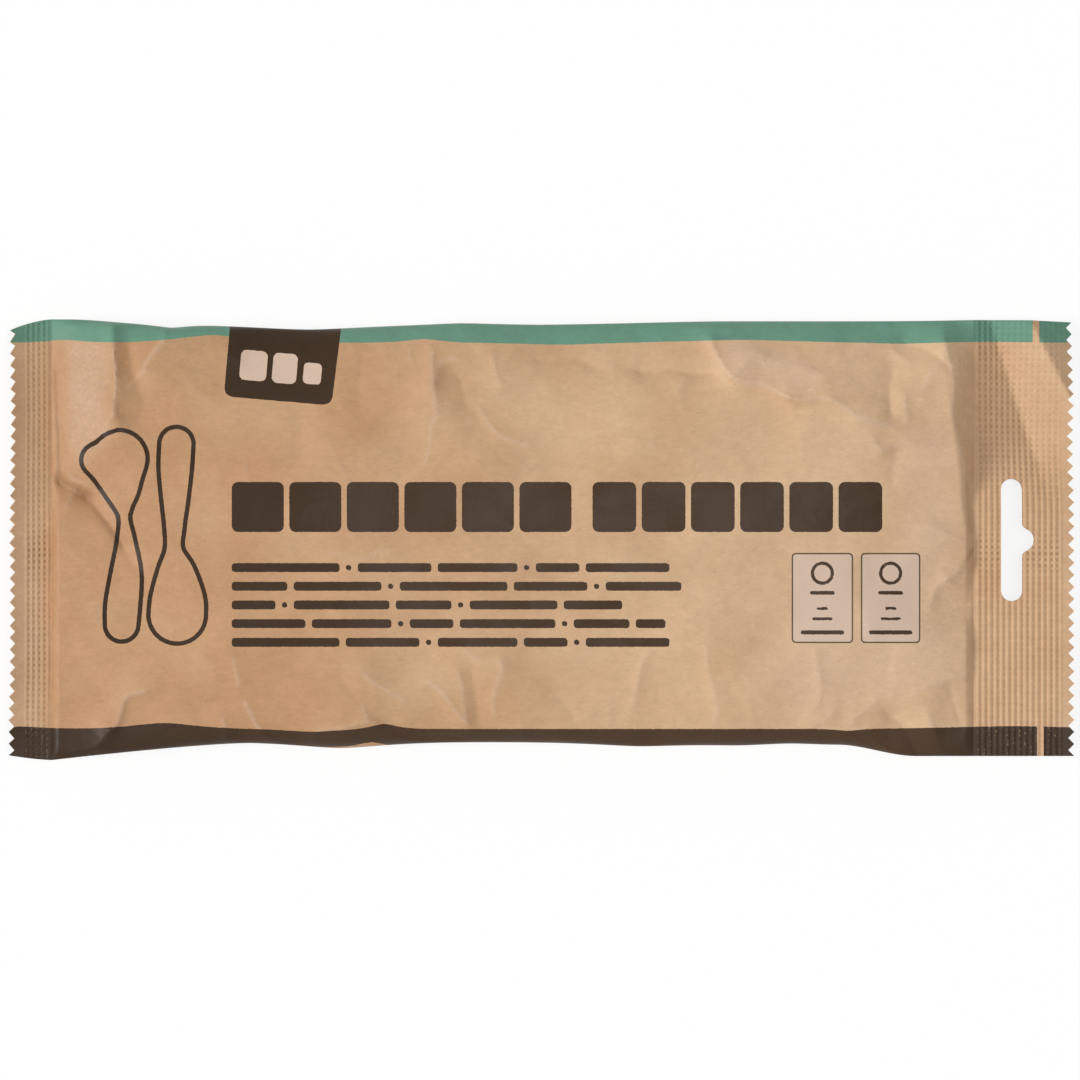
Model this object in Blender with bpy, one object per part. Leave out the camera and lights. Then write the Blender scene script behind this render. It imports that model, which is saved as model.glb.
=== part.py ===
"""Sealed kraft paper pack of wooden spoons, lying on its back.

X runs along the pack, with the header that it hangs by at +X. Y runs across it, with the green edge at +Y.
Z points out of the printed front. The origin lies under the middle of the pack, on what it rests on.

The paper is one tube. Its section is a soft pillow where the spoons fill it, and two flat plies at the crimped
seals. The blank is lofted through such sections, its ends and hang slot are cut while the seals lie flat, as a
wrapping machine cuts them, and only then do the seals curl. All lengths are in metres, angles in degrees.
"""

import math
from collections import namedtuple

import bmesh
import bpy
import numpy as np

MM = 0.001

# Tube. Its middle lies this far from the left seal, and the tables below count millimetres from there.
BODY_LENGTH = 0.2303
LEFT_TO_MIDDLE = 0.1219
FLAT_WIDTH = 0.1101
FILLED_HEIGHT = 0.0180
SIDE_FOLD_HEIGHT = 0.0080
SEAL_HEIGHT = 0.0075
TWO_PLIES = 0.0004
FRONT_ROUNDNESS = 2.3
BACK_ROUNDNESS = 3.2
BACK_FULLNESS = 1.12

# Length over which the back opens from a seal, and over which the side folds rise to their full height
BACK_RAMP = 0.032
FOLD_RAMP_LEFT = 0.055
FOLD_RAMP_RIGHT = 0.026
RAMP_POWER = 2.2
BELL_POWER = 1.6

# Front near the left seal: a long slope, and below its upper part also a short steep step at the seal
STEP_WIDTH = 0.0022
LEFT_STEP = 0.25
LEFT_STEP_TOP = 0.026
LEFT_STEP_FADE = 0.010
LEFT_SLOPE_UPPER = 0.034
LEFT_SLOPE_LOWER = 0.075
SLOPE_POWER = 1.4

# Front near the header: a long slope and a step, which widens to a steep wedge towards the upper fold
RIGHT_STEP = 0.25
RIGHT_SLOPE = 0.060
WEDGE_STEP = 0.25
WEDGE_WIDTH = 0.0063
WEDGE_BOTTOM = 0.003
WEDGE_RUN = 0.045
WEDGE_QUICKNESS = 2.5
WEDGE_POWER = 1.3

# Seam down the middle of the back, folded flat
FIN_WIDTH = 0.012
FIN_THICKNESS = 0.0003
FIN_OFFSET = 0.002
FIN_STEP = 0.0004

# Crimped seals
RIB_PITCH = 0.00148
RIB_DEPTH = 0.0004
RIB_START = 0.0004
LEFT_RIBS = 5
RIGHT_RIBS = 15
LEFT_MARGIN = 0.0039
RIGHT_MARGIN = 0.0026
TOOTH_PITCH = 0.00305
TOOTH_DEPTH = 0.0015

# Hang slot in the header
SLOT_LENGTH = 0.0305
SLOT_WIDTH = 0.0053
SLOT_BUMP_RADIUS = 0.0029
SLOT_SHOULDER_RADIUS = 0.0010
SLOT_TO_TIPS = 0.0101
SLOT_ARC_STEPS = 10

# Left seal curls up, more in its upper half than at its lower corner
LEFT_CURL = 30.0
LEFT_CURL_EXTRA = 8.0
LEFT_CURL_LOST = 25.0
LEFT_CURL_SPREAD = 24.0

# Header dips behind the body, and its upper corner droops
HEADER_DIP = 0.0016
HEADER_DIP_LENGTH = 0.0075
CORNER_DROOP = 0.0028
CORNER_LENGTH = 0.010
CORNER_WIDTH = 0.022

# Corners of the left seal, which draw in towards the tips
UPPER_TAPER = 0.0029
LOWER_TAPER = 0.0012
TAPER_POWER = 1.6

# Printed bands: how far their inner edges on the front lie from the flat tube's edges, and their width on the back
GREEN_BAND = 0.00555
DARK_BAND = 0.00795
BAND_ON_BACK = 0.0011

# Small pleats that run out of the seals
PLEAT_HEIGHT = 0.0006
PLEAT_REACH = 0.016
PLEAT_WAVES = 6.0

# Mesh density
BODY_STATIONS = 78
STATION_EVENNESS = 0.6
BAND_STEPS = 3
FRONT_STEPS = 28
BACK_BAND_STEPS = 1
BACK_STEPS = 4
KNIFE_REACH = 0.004
END_SPARE = 0.0006
FOLD_OVERLAP = 0.3

KRAFT = (0.60, 0.377, 0.215, 1.0)
GREEN = (0.16, 0.305, 0.216, 1.0)
DARK = (0.061, 0.034, 0.020, 1.0)

LEFT_SEAL = RIB_START + LEFT_RIBS * RIB_PITCH + LEFT_MARGIN
RIGHT_SEAL = RIB_START + RIGHT_RIBS * RIB_PITCH + RIGHT_MARGIN

# A crease runs from one point to another on the front. It raises or lowers the paper by its height, which fades
# over one width on the left of its way and another on the right. All in millimetres from the pack's middle.
Crease = namedtuple("Crease", "start end height left right")
CREASES = (
    Crease((-107.0, 52.0), (-104.8, 31.0), 1.4, 5.0, 13.0),
    Crease((-104.8, 31.0), (-109.0, 25.0), 0.6, 8.0, 5.0),
    Crease((-93.5, 53.0), (-97.0, 42.5), 0.9, 6.0, 3.0),
    Crease((-121.5, 15.5), (-113.0, 11.0), -1.3, 3.5, 4.0),
    Crease((-113.0, 11.0), (-104.5, -2.0), -1.1, 4.5, 4.0),
    Crease((-104.5, -2.0), (-99.0, -9.0), -0.5, 4.0, 4.0),
    Crease((-99.5, -37.0), (-107.5, -47.0), 1.0, 2.5, 5.0),
    Crease((-107.5, -47.0), (-114.0, -54.0), 0.7, 2.5, 4.0),
    Crease((-76.5, -29.0), (-75.0, -37.0), 0.5, 5.0, 4.0),
    Crease((-86.0, -40.0), (-74.0, -41.5), -0.5, 4.0, 4.0),
    Crease((-73.5, -42.0), (-70.0, -46.5), 0.6, 4.0, 4.0),
    Crease((-50.5, -34.5), (-45.0, -41.5), -0.7, 4.0, 3.5),
    Crease((-45.0, -41.5), (-43.5, -46.0), 0.5, 3.0, 4.0),
    Crease((-43.0, -32.0), (-33.5, -40.0), 0.7, 5.0, 4.5),
    Crease((-28.0, -36.5), (-18.0, -44.5), 0.7, 3.5, 5.0),
    Crease((-21.0, -33.0), (-18.0, -44.5), 0.8, 4.0, 6.0),
    Crease((-16.0, -32.0), (-15.0, -43.0), -0.8, 5.0, 4.0),
    Crease((3.0, -36.5), (8.0, -45.0), -0.5, 4.0, 4.0),
    Crease((-25.5, 46.0), (-26.5, 40.5), 0.6, 3.5, 6.0),
    Crease((-26.5, 40.5), (-25.0, 31.0), 1.2, 4.5, 12.0),
    Crease((-25.0, 31.0), (-29.0, 18.0), 0.5, 5.0, 10.0),
    Crease((-20.5, 40.0), (-19.0, 33.0), -0.6, 4.5, 4.0),
    Crease((-15.5, 32.0), (-3.0, 22.5), 0.5, 5.0, 4.0),
    Crease((-4.0, 45.0), (25.0, 42.5), -0.6, 5.0, 3.5),
    Crease((25.0, 42.5), (46.0, 40.5), -1.0, 6.0, 3.5),
    Crease((47.5, 41.0), (42.0, 50.0), 1.1, 4.0, 9.0),
    Crease((47.5, 41.0), (70.0, 42.0), 0.6, 4.0, 4.0),
    Crease((47.5, 40.5), (72.0, 34.0), 0.9, 7.0, 3.5),
    Crease((72.0, 34.0), (88.0, 28.0), 1.0, 8.0, 4.0),
    Crease((87.5, 40.0), (88.0, 31.5), -0.9, 4.5, 4.0),
    Crease((91.0, 51.0), (101.0, 43.0), -0.8, 4.0, 4.0),
    Crease((107.8, -2.5), (102.5, -10.5), 1.1, 3.5, 3.0),
    Crease((102.5, -10.5), (97.0, -14.0), 0.6, 3.5, 3.5),
    Crease((107.8, -1.0), (96.0, 3.0), 0.6, 4.0, 4.0),
    Crease((107.0, -33.0), (93.0, -38.5), 0.6, 4.0, 4.0),
    Crease((103.0, -37.0), (105.0, -45.0), -0.7, 4.0, 3.5),
    Crease((84.0, -40.0), (76.0, -46.5), 0.7, 3.5, 4.5),
    Crease((42.0, -28.0), (43.5, -46.0), 0.5, 4.0, 3.0),
    Crease((88.0, -44.5), (95.5, -53.5), -1.1, 3.5, 3.5),
    Crease((96.0, -45.0), (101.0, -52.0), 0.8, 3.5, 4.0),
    Crease((78.0, -48.0), (90.0, -53.0), 0.6, 3.5, 3.5),
)

# Each side fold lies its shift towards +Y of the flat tube's edge. A dent moves it: its place along X, how far it
# moves the fold towards +Y, and its half length. A swing moves it for good: where it starts, over what length, and
# by how much. All in millimetres from the middle.
Dent = namedtuple("Dent", "place amount reach")
Swing = namedtuple("Swing", "start length amount")
UPPER_SHIFT = 0.1
UPPER_DENTS = (
    Dent(-92.0, -0.75, 5.0),
    Dent(-58.0, -1.4, 22.0),
    Dent(-20.0, 0.3, 8.0),
    Dent(0.0, -0.2, 10.0),
    Dent(113.0, 0.4, 14.0),
)
UPPER_SWINGS = (Swing(-118.0, 22.0, -1.15), Swing(8.0, 40.0, 0.65))
LOWER_SHIFT = 4.55
LOWER_DENTS = (
    Dent(-50.0, -1.5, 15.0),
    Dent(25.0, -1.0, 16.0),
    Dent(50.0, -0.7, 14.0),
)
LOWER_SWINGS = (Swing(60.0, 15.0, -0.6), Swing(74.0, 20.0, -2.9))
LOWER_LEFT_DROP = 4.5
LOWER_LEFT_RUN = 50.0
LOWER_LEFT_POWER = 1.25


def ramp(distance, length, power=RAMP_POWER):
    """Share of the full height at a distance from the seal: 1 minus the share still to go, to a power."""
    left_over = np.clip(1.0 - distance / length, 0.0, 1.0)
    return 1.0 - left_over ** power


def smooth(value):
    """Smooth step from 0 to 1."""
    value = np.clip(value, 0.0, 1.0)
    return value * value * (3.0 - 2.0 * value)


def bell(distance, reach):
    """Bell curve with a height of 1."""
    return np.exp(-np.abs(distance / reach) ** BELL_POWER)


def fold_line(place, level, dents, swings):
    """Y of a side fold at a place, in millimetres: a level, with a bell for each dent and a step for each swing."""
    total = level
    for dent in dents:
        total += dent.amount * bell(place - dent.place, dent.reach)
    for swing in swings:
        total += swing.amount * smooth((place - swing.start) / swing.length)
    return total


def side_folds(x):
    """Y of the upper and of the lower side fold at x. The left seal's corners draw in towards its tips."""
    inside = max(x, 0.0)
    place = (inside - LEFT_TO_MIDDLE) / MM
    flat_half = FLAT_WIDTH / MM / 2.0
    upper = fold_line(place, flat_half + UPPER_SHIFT, UPPER_DENTS, UPPER_SWINGS)
    lower = fold_line(place, LOWER_SHIFT - flat_half, LOWER_DENTS, LOWER_SWINGS)
    lower -= LOWER_LEFT_DROP * (1.0 - ramp(inside / MM, LOWER_LEFT_RUN, LOWER_LEFT_POWER))
    tip_share = max(-x, 0.0) / LEFT_SEAL
    upper_taper = UPPER_TAPER * tip_share ** TAPER_POWER
    lower_taper = LOWER_TAPER * tip_share ** TAPER_POWER
    return upper * MM - upper_taper, lower * MM + lower_taper


def share_across(y, x):
    """Place of y across the tube at x, from 1 at the upper fold to -1 at the lower one."""
    upper, lower = side_folds(x)
    return (2.0 * y - upper - lower) / (upper - lower)


def front_lines(x):
    """Lines across the front at x, close together near the side folds and on the edges of the bands."""
    green = share_across(FLAT_WIDTH / 2.0 - GREEN_BAND, x)
    dark = share_across(DARK_BAND - FLAT_WIDTH / 2.0, x)
    green_angle = math.acos(green ** (FRONT_ROUNDNESS / 2.0))
    dark_angle = math.pi - math.acos((-dark) ** (FRONT_ROUNDNESS / 2.0))
    angles = np.concatenate((
        np.linspace(0.0, green_angle, BAND_STEPS + 1)[:-1],
        np.linspace(green_angle, dark_angle, FRONT_STEPS + 1)[:-1],
        np.linspace(dark_angle, math.pi, BAND_STEPS + 1),
    ))
    across = np.cos(angles)
    return np.sign(across) * np.abs(across) ** (2.0 / FRONT_ROUNDNESS)


def back_lines(x):
    """Lines across the back at x, from the lower fold to the upper one, with both edges of the fin seal."""
    upper, lower = side_folds(x)
    fin_low = FIN_OFFSET - FIN_WIDTH / 2.0
    fin_high = FIN_OFFSET + FIN_WIDTH / 2.0
    lines = np.concatenate((
        np.linspace(lower, lower + BAND_ON_BACK, BACK_BAND_STEPS + 1)[:-1],
        np.linspace(lower + BAND_ON_BACK, fin_low - FIN_STEP, BACK_STEPS + 1),
        (fin_low, fin_high),
        np.linspace(fin_high + FIN_STEP, upper - BAND_ON_BACK, BACK_STEPS + 1),
        np.linspace(upper - BAND_ON_BACK, upper, BACK_BAND_STEPS + 1)[1:],
    ))
    return share_across(lines, x)


def crease_relief(x, y):
    """Sum of the front's creases, at a place along the tube and places across it. Each is the exponential of minus
    its distance from the line over the width on that side."""
    place_x = (x - LEFT_TO_MIDDLE) / MM
    place_y = y / MM
    total = np.zeros_like(place_y)
    for crease in CREASES:
        from_x = place_x - crease.start[0]
        from_y = place_y - crease.start[1]
        run_x = crease.end[0] - crease.start[0]
        run_y = crease.end[1] - crease.start[1]
        run = math.hypot(run_x, run_y)
        along = (from_x * run_x + from_y * run_y) / run
        side = (from_y * run_x - from_x * run_y) / run
        past = along - np.clip(along, 0.0, run)
        width = np.where(side > 0.0, crease.left, crease.right)
        end_width = (crease.left + crease.right) / 2.0
        total += crease.height * np.exp(-np.hypot(side / width, past / end_width))
    return total * MM


def pleats(x, across):
    """Small pleats across the tube that die away from both seals."""
    near = np.exp(-x / PLEAT_REACH) * np.sin(PLEAT_WAVES * math.pi * across + 1.0)
    far = np.exp(-(BODY_LENGTH - x) / PLEAT_REACH) * np.sin(PLEAT_WAVES * math.pi * across * 0.8 + 2.5)
    return PLEAT_HEIGHT * (near + far)


def filled_from_left(x, y):
    """How full the front is at a distance from the left seal. Below its upper part it steps up at once, then
    rises slowly. Its upper part rises in one slope."""
    upper = smooth((y - LEFT_STEP_TOP + LEFT_STEP_FADE) / LEFT_STEP_FADE)
    step = LEFT_STEP * (1.0 - upper)
    run = LEFT_SLOPE_LOWER + (LEFT_SLOPE_UPPER - LEFT_SLOPE_LOWER) * upper
    power = SLOPE_POWER + (RAMP_POWER - SLOPE_POWER) * upper
    return step * ramp(x, STEP_WIDTH) + (1.0 - step) * ramp(x, run, power)


def filled_from_right(distance, y):
    """How full the front is at a distance from the header. The step at the seal grows to a wedge in its upper
    half."""
    rise = np.clip((y - WEDGE_BOTTOM) / WEDGE_RUN, 0.0, 1.0)
    step = RIGHT_STEP + WEDGE_STEP * smooth(rise * WEDGE_QUICKNESS)
    steep = ramp(distance, STEP_WIDTH + WEDGE_WIDTH * rise, WEDGE_POWER)
    return step * steep + (1.0 - step) * ramp(distance, RIGHT_SLOPE, SLOPE_POWER)


def front_height(x, across, y):
    """Height of the front of the filled tube: a rounded crown on the side folds, with its creases and pleats."""
    filled = filled_from_left(x, y) * filled_from_right(BODY_LENGTH - x, y)
    crown = (1.0 - np.abs(across) ** FRONT_ROUNDNESS).clip(0.0) ** (1.0 / FRONT_ROUNDNESS)
    base = fold_height(x)
    soft = np.minimum(1.0, filled / FOLD_OVERLAP) * np.minimum(1.0, crown / FOLD_OVERLAP)
    relief = (crease_relief(x, y) + pleats(x, across)) * soft
    return base + TWO_PLIES / 2.0 + (FILLED_HEIGHT - base) * filled * crown + relief


def back_height(x, across):
    """Height of the back of the filled tube: flat on the table in the middle, rising to the folds and seals."""
    filled = ramp(x, BACK_RAMP) * ramp(BODY_LENGTH - x, BACK_RAMP)
    crown = (1.0 - np.abs(across) ** BACK_ROUNDNESS).clip(0.0) ** (1.0 / BACK_ROUNDNESS)
    crown = np.minimum(1.0, BACK_FULLNESS * crown)
    top = fold_height(x) - TWO_PLIES / 2.0
    return top + (FIN_THICKNESS - top) * filled * crown


def fold_height(x):
    """Height of the side folds at x."""
    risen = ramp(x, FOLD_RAMP_LEFT) * ramp(BODY_LENGTH - x, FOLD_RAMP_RIGHT)
    return SEAL_HEIGHT + (SIDE_FOLD_HEIGHT - SEAL_HEIGHT) * risen


def fin_drop(y):
    """How far the fin seal stands out of the back at y."""
    from_middle = np.abs(y - FIN_OFFSET)
    inside = from_middle <= FIN_WIDTH / 2.0 + FIN_STEP / 4.0
    return np.where(inside, FIN_THICKNESS, 0.0)


def section(x, rib):
    """One closed loop of points round the tube at x. A rib lifts both plies of a seal together."""
    upper, lower = side_folds(x)
    half = (upper - lower) / 2.0
    middle = (upper + lower) / 2.0
    front = front_lines(x)
    back = back_lines(x)
    front_y = middle + front * half
    back_y = middle + back * half
    if 0.0 < x < BODY_LENGTH:
        front_z = front_height(x, front, front_y)
        back_z = back_height(x, back) - fin_drop(back_y)
    else:
        front_z = np.full_like(front, SEAL_HEIGHT + TWO_PLIES / 2.0 + rib)
        back_z = np.full_like(back, SEAL_HEIGHT - TWO_PLIES / 2.0 + rib) - fin_drop(back_y)
    y = np.concatenate((front_y, back_y))
    z = np.concatenate((front_z, back_z))
    return np.column_stack((np.full_like(y, x), y, z))


def rib_stations(count):
    """Distances from the seal's inner edge, and rib heights: up and down in turn, level at both ends."""
    stations = []
    for index in range(2 * count + 1):
        level = 0.0 if index in (0, 2 * count) else RIB_DEPTH / 2.0 * (-1.0) ** index
        stations.append((RIB_START + index * RIB_PITCH / 2.0, level))
    return stations


def seal_stations(count, length):
    """Distances and rib heights along one seal, out to a little past the tips that the knife leaves."""
    stations = [(0.0, 0.0)] + rib_stations(count)
    stations.append((length - TOOTH_DEPTH - END_SPARE, 0.0))
    stations.append((length + END_SPARE, 0.0))
    return stations


def all_stations():
    """Every section's place and rib height, from the left end to the right end."""
    share = np.linspace(0.0, 1.0, BODY_STATIONS + 1)
    crowded = 0.5 - 0.5 * np.cos(math.pi * share)
    body = BODY_LENGTH * (STATION_EVENNESS * share + (1.0 - STATION_EVENNESS) * crowded)
    left = [(-distance, rib) for distance, rib in reversed(seal_stations(LEFT_RIBS, LEFT_SEAL))]
    right = [(BODY_LENGTH + distance, rib) for distance, rib in seal_stations(RIGHT_RIBS, RIGHT_SEAL)]
    return left + [(x, 0.0) for x in body[1:-1]] + right


def face_material(column, front_count, back_count):
    """Material of a strip of faces round the tube: 1 green, 2 dark, 0 plain kraft."""
    if column < BAND_STEPS or column >= front_count + back_count - 1 - BACK_BAND_STEPS:
        return 1
    if front_count - 1 - BAND_STEPS <= column < front_count + BACK_BAND_STEPS:
        return 2
    return 0


def loft_blank():
    """Mesh of the tube with both seals still flat and uncut."""
    model = bmesh.new()
    rings = []
    for x, rib in all_stations():
        rings.append([model.verts.new(point) for point in section(x, rib)])
    front_count = len(front_lines(0.0))
    back_count = len(back_lines(0.0))
    around = front_count + back_count
    for first, second in zip(rings, rings[1:]):
        for column in range(around):
            after = (column + 1) % around
            face = model.faces.new((first[column], second[column], second[after], first[after]))
            face.material_index = face_material(column, front_count, back_count)
    model.faces.new(rings[0])
    model.faces.new(reversed(rings[-1]))
    bmesh.ops.recalc_face_normals(model, faces=model.faces)
    mesh = bpy.data.meshes.new("paper_pack")
    model.to_mesh(mesh)
    model.free()
    return mesh


def make_cutter(name, outline):
    """Upright prism through a seal, from its outline in plan."""
    model = bmesh.new()
    low = SEAL_HEIGHT - KNIFE_REACH
    base = model.faces.new([model.verts.new((x, y, low)) for x, y in outline])
    raised = bmesh.ops.extrude_face_region(model, geom=[base])
    corners = [item for item in raised["geom"] if isinstance(item, bmesh.types.BMVert)]
    bmesh.ops.translate(model, vec=(0.0, 0.0, 2.0 * KNIFE_REACH), verts=corners)
    bmesh.ops.recalc_face_normals(model, faces=model.faces)
    mesh = bpy.data.meshes.new(name)
    model.to_mesh(mesh)
    model.free()
    cutter = bpy.data.objects.new(name, mesh)
    cutter.hide_render = True
    cutter.display_type = "WIRE"
    bpy.context.scene.collection.objects.link(cutter)
    return cutter


def knife_outline(tips, outward):
    """Zigzag knife. Its teeth point inwards between the tips, and its back lies clear of the paper."""
    count = max(2, round(FLAT_WIDTH / TOOTH_PITCH))
    pitch = FLAT_WIDTH / count
    roots = tips - outward * TOOTH_DEPTH
    points = []
    for index in range(-2, 2 * count + 3):
        y = -FLAT_WIDTH / 2.0 + index * pitch / 2.0
        points.append((roots if index % 2 else tips, y))
    back = tips + outward * KNIFE_REACH
    points.append((back, FLAT_WIDTH / 2.0 + pitch))
    points.append((back, -FLAT_WIDTH / 2.0 - pitch))
    return points


def arc(centre_x, centre_y, radius, start, end):
    """Points along an arc in plan, from one angle to another in degrees."""
    angles = np.radians(np.linspace(start, end, SLOT_ARC_STEPS + 1))
    return [(centre_x + radius * math.cos(a), centre_y + radius * math.sin(a)) for a in angles]


def slot_outline():
    """Hang slot: a long slot across the header, with a round bump towards the teeth and filleted shoulders."""
    side = BODY_LENGTH + RIGHT_SEAL - SLOT_TO_TIPS - SLOT_BUMP_RADIUS
    end_radius = SLOT_WIDTH / 2.0
    middle = side - end_radius
    end_y = SLOT_LENGTH / 2.0 - end_radius
    reach = SLOT_BUMP_RADIUS + SLOT_SHOULDER_RADIUS
    shoulder_y = math.sqrt(reach ** 2 - SLOT_SHOULDER_RADIUS ** 2)
    lean = math.degrees(math.asin(SLOT_SHOULDER_RADIUS / reach))
    shoulder_x = side + SLOT_SHOULDER_RADIUS
    points = arc(middle, end_y, end_radius, 0.0, 180.0)
    points += arc(middle, -end_y, end_radius, 180.0, 360.0)
    points += arc(shoulder_x, -shoulder_y, SLOT_SHOULDER_RADIUS, 180.0, 90.0 + lean)
    points += arc(side, 0.0, SLOT_BUMP_RADIUS, -90.0 + lean, 90.0 - lean)[1:-1]
    points += arc(shoulder_x, shoulder_y, SLOT_SHOULDER_RADIUS, 270.0 - lean, 180.0)
    return points


def cut_ends_and_slot(pack):
    """Zigzag both ends and punch the hang slot, and keep the result as the pack's own mesh."""
    cutters = (
        make_cutter("left_knife", knife_outline(-LEFT_SEAL, -1.0)),
        make_cutter("right_knife", knife_outline(BODY_LENGTH + RIGHT_SEAL, 1.0)),
        make_cutter("slot_punch", slot_outline()),
    )
    for cutter in cutters:
        boolean = pack.modifiers.new(cutter.name, "BOOLEAN")
        boolean.operation = "DIFFERENCE"
        boolean.solver = "EXACT"
        boolean.object = cutter
    graph = bpy.context.evaluated_depsgraph_get()
    cut = bpy.data.meshes.new_from_object(pack.evaluated_get(graph), depsgraph=graph)
    pack.modifiers.clear()
    pack.data = cut
    for cutter in cutters:
        bpy.data.objects.remove(cutter, do_unlink=True)


def left_curl(y):
    """Mean angle by which the left seal curls up, in radians: most above the middle, least at the low corner."""
    half = FLAT_WIDTH / 2.0
    extra = LEFT_CURL_EXTRA * bell(y / half - 0.55, 0.25)
    lost = LEFT_CURL_LOST * smooth((-0.55 - y / half) / 0.45)
    return np.radians(LEFT_CURL + extra - lost)


def curl_left_seal(points):
    """Roll the left seal up along an arc, keeping its length and the depth of its ribs."""
    seal = points[:, 0] <= 0.0
    x, y, z = points[seal].T
    out = -x
    depth = z - SEAL_HEIGHT
    mean = left_curl(y)
    spread = np.radians(LEFT_CURL_SPREAD) / LEFT_SEAL
    start = mean - spread * LEFT_SEAL / 2.0
    chord = out * np.sinc(spread * out / 2.0 / math.pi)
    chord_angle = start + spread * out / 2.0
    angle = start + spread * out
    points[seal, 0] = -chord * np.cos(chord_angle) + depth * np.sin(angle)
    points[seal, 2] = SEAL_HEIGHT + chord * np.sin(chord_angle) + depth * np.cos(angle)


def wave_header(points):
    """Let the header dip where it leaves the body in its upper half, and droop at its upper outer corner."""
    header = points[:, 0] >= BODY_LENGTH
    x, y, _ = points[header].T
    out = x - BODY_LENGTH
    upper = smooth((y / (FLAT_WIDTH / 2.0) - 0.05) / 0.6)
    dip = -HEADER_DIP * smooth(out / HEADER_DIP_LENGTH) * upper
    recover = HEADER_DIP * 0.7 * smooth((out - HEADER_DIP_LENGTH) / HEADER_DIP_LENGTH) * upper
    corner = smooth((out - RIGHT_SEAL + CORNER_LENGTH) / CORNER_LENGTH)
    corner = corner * smooth((y - FLAT_WIDTH / 2.0 + CORNER_WIDTH) / CORNER_WIDTH)
    points[header, 2] += dip + recover - CORNER_DROOP * corner


def shape_and_centre(mesh):
    """Curl the seals, then set the origin under the middle of the pack."""
    flat = np.empty(len(mesh.vertices) * 3, dtype=np.float32)
    mesh.vertices.foreach_get("co", flat)
    points = flat.reshape(-1, 3).astype(float)
    curl_left_seal(points)
    wave_header(points)
    low = points.min(axis=0)
    high = points.max(axis=0)
    points -= ((low[0] + high[0]) / 2.0, (low[1] + high[1]) / 2.0, low[2])
    mesh.vertices.foreach_set("co", points.astype(np.float32).ravel())
    mesh.update()


def make_material(name, colour, roughness):
    """Plain printed paper."""
    material = bpy.data.materials.new(name)
    material.use_nodes = True
    shader = material.node_tree.nodes["Principled BSDF"]
    shader.inputs["Base Color"].default_value = colour
    shader.inputs["Roughness"].default_value = roughness
    shader.inputs["Metallic"].default_value = 0.0
    material.diffuse_color = colour
    return material


def build_pack():
    """Loft, cut and curl the paper pack."""
    mesh = loft_blank()
    mesh.materials.append(make_material("kraft_paper", KRAFT, 0.75))
    mesh.materials.append(make_material("green_print", GREEN, 0.6))
    mesh.materials.append(make_material("dark_print", DARK, 0.55))
    pack = bpy.data.objects.new("paper_pack", mesh)
    bpy.context.scene.collection.objects.link(pack)
    cut_ends_and_slot(pack)
    shape_and_centre(pack.data)
    pack.data.shade_smooth()
    pack.data.set_sharp_from_angle(angle=math.radians(30.0))
    return pack


def main():
    for leftover in list(bpy.data.objects):
        bpy.data.objects.remove(leftover, do_unlink=True)
    build_pack()


main()
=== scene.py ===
"""Looks of a sealed kraft paper pack of wooden spoons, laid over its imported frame.

X runs along the pack, with the header that it hangs by at +X. Y runs across it, with the green edge at +Y.
Z points out of the printed front. Lengths are metres, except where a name or a table says millimetres.

The wrap is one paper tube. It is made here as three surfaces that meet edge to edge, so that each can be as
fine as its relief asks: the filled body, the left seal and the header. Print is held as distances, in metres,
from each printed edge, and one paper material turns those into ink.
"""

import math
from collections import namedtuple

import bpy
import numpy as np
from bpy.props import FloatProperty, FloatVectorProperty, IntProperty, PointerProperty
from bpy.types import Operator, Panel, PropertyGroup
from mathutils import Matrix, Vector


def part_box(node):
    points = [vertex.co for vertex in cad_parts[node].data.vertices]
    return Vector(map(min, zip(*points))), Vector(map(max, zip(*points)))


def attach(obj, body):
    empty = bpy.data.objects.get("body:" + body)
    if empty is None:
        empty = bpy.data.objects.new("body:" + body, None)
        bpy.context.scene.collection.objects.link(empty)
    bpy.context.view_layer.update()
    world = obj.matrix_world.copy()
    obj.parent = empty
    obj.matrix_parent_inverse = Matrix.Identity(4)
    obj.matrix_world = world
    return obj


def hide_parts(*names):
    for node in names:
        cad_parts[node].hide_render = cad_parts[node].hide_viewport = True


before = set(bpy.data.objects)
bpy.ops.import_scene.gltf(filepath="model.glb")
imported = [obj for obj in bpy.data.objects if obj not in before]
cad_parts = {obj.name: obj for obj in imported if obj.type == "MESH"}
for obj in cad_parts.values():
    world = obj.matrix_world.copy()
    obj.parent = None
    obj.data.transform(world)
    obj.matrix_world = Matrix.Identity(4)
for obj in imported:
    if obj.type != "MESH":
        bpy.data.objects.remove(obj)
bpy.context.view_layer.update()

bl_info = {
    "name": "Kraft Spoon Pack",
    "version": (1, 0, 0),
    "blender": (4, 5, 0),
    "location": "View3D > Sidebar > Spoon Pack",
    "description": "Builds the paper, print and crimped seals of a flow-wrapped pack of wooden spoons",
    "category": "Object",
}

BOX_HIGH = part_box("paper_pack")[1]
MM = 0.001

# Tube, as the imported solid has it
BODY_LENGTH = 0.2303
SEAL_HEIGHT = 0.0075
SIDE_FOLD_HEIGHT = 0.0080
FRONT_ROUNDNESS = 2.3
BACK_ROUNDNESS = 3.2
BACK_FULLNESS = 1.12
BACK_RAMP = 0.032
FOLD_RAMP_LEFT = 0.055
FOLD_RAMP_RIGHT = 0.026
RAMP_POWER = 2.2
BELL_POWER = 1.6
PLEAT_HEIGHT = 0.0006
PLEAT_REACH = 0.016
PLEAT_WAVES = 6.0
FOLD_OVERLAP = 0.3

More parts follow.
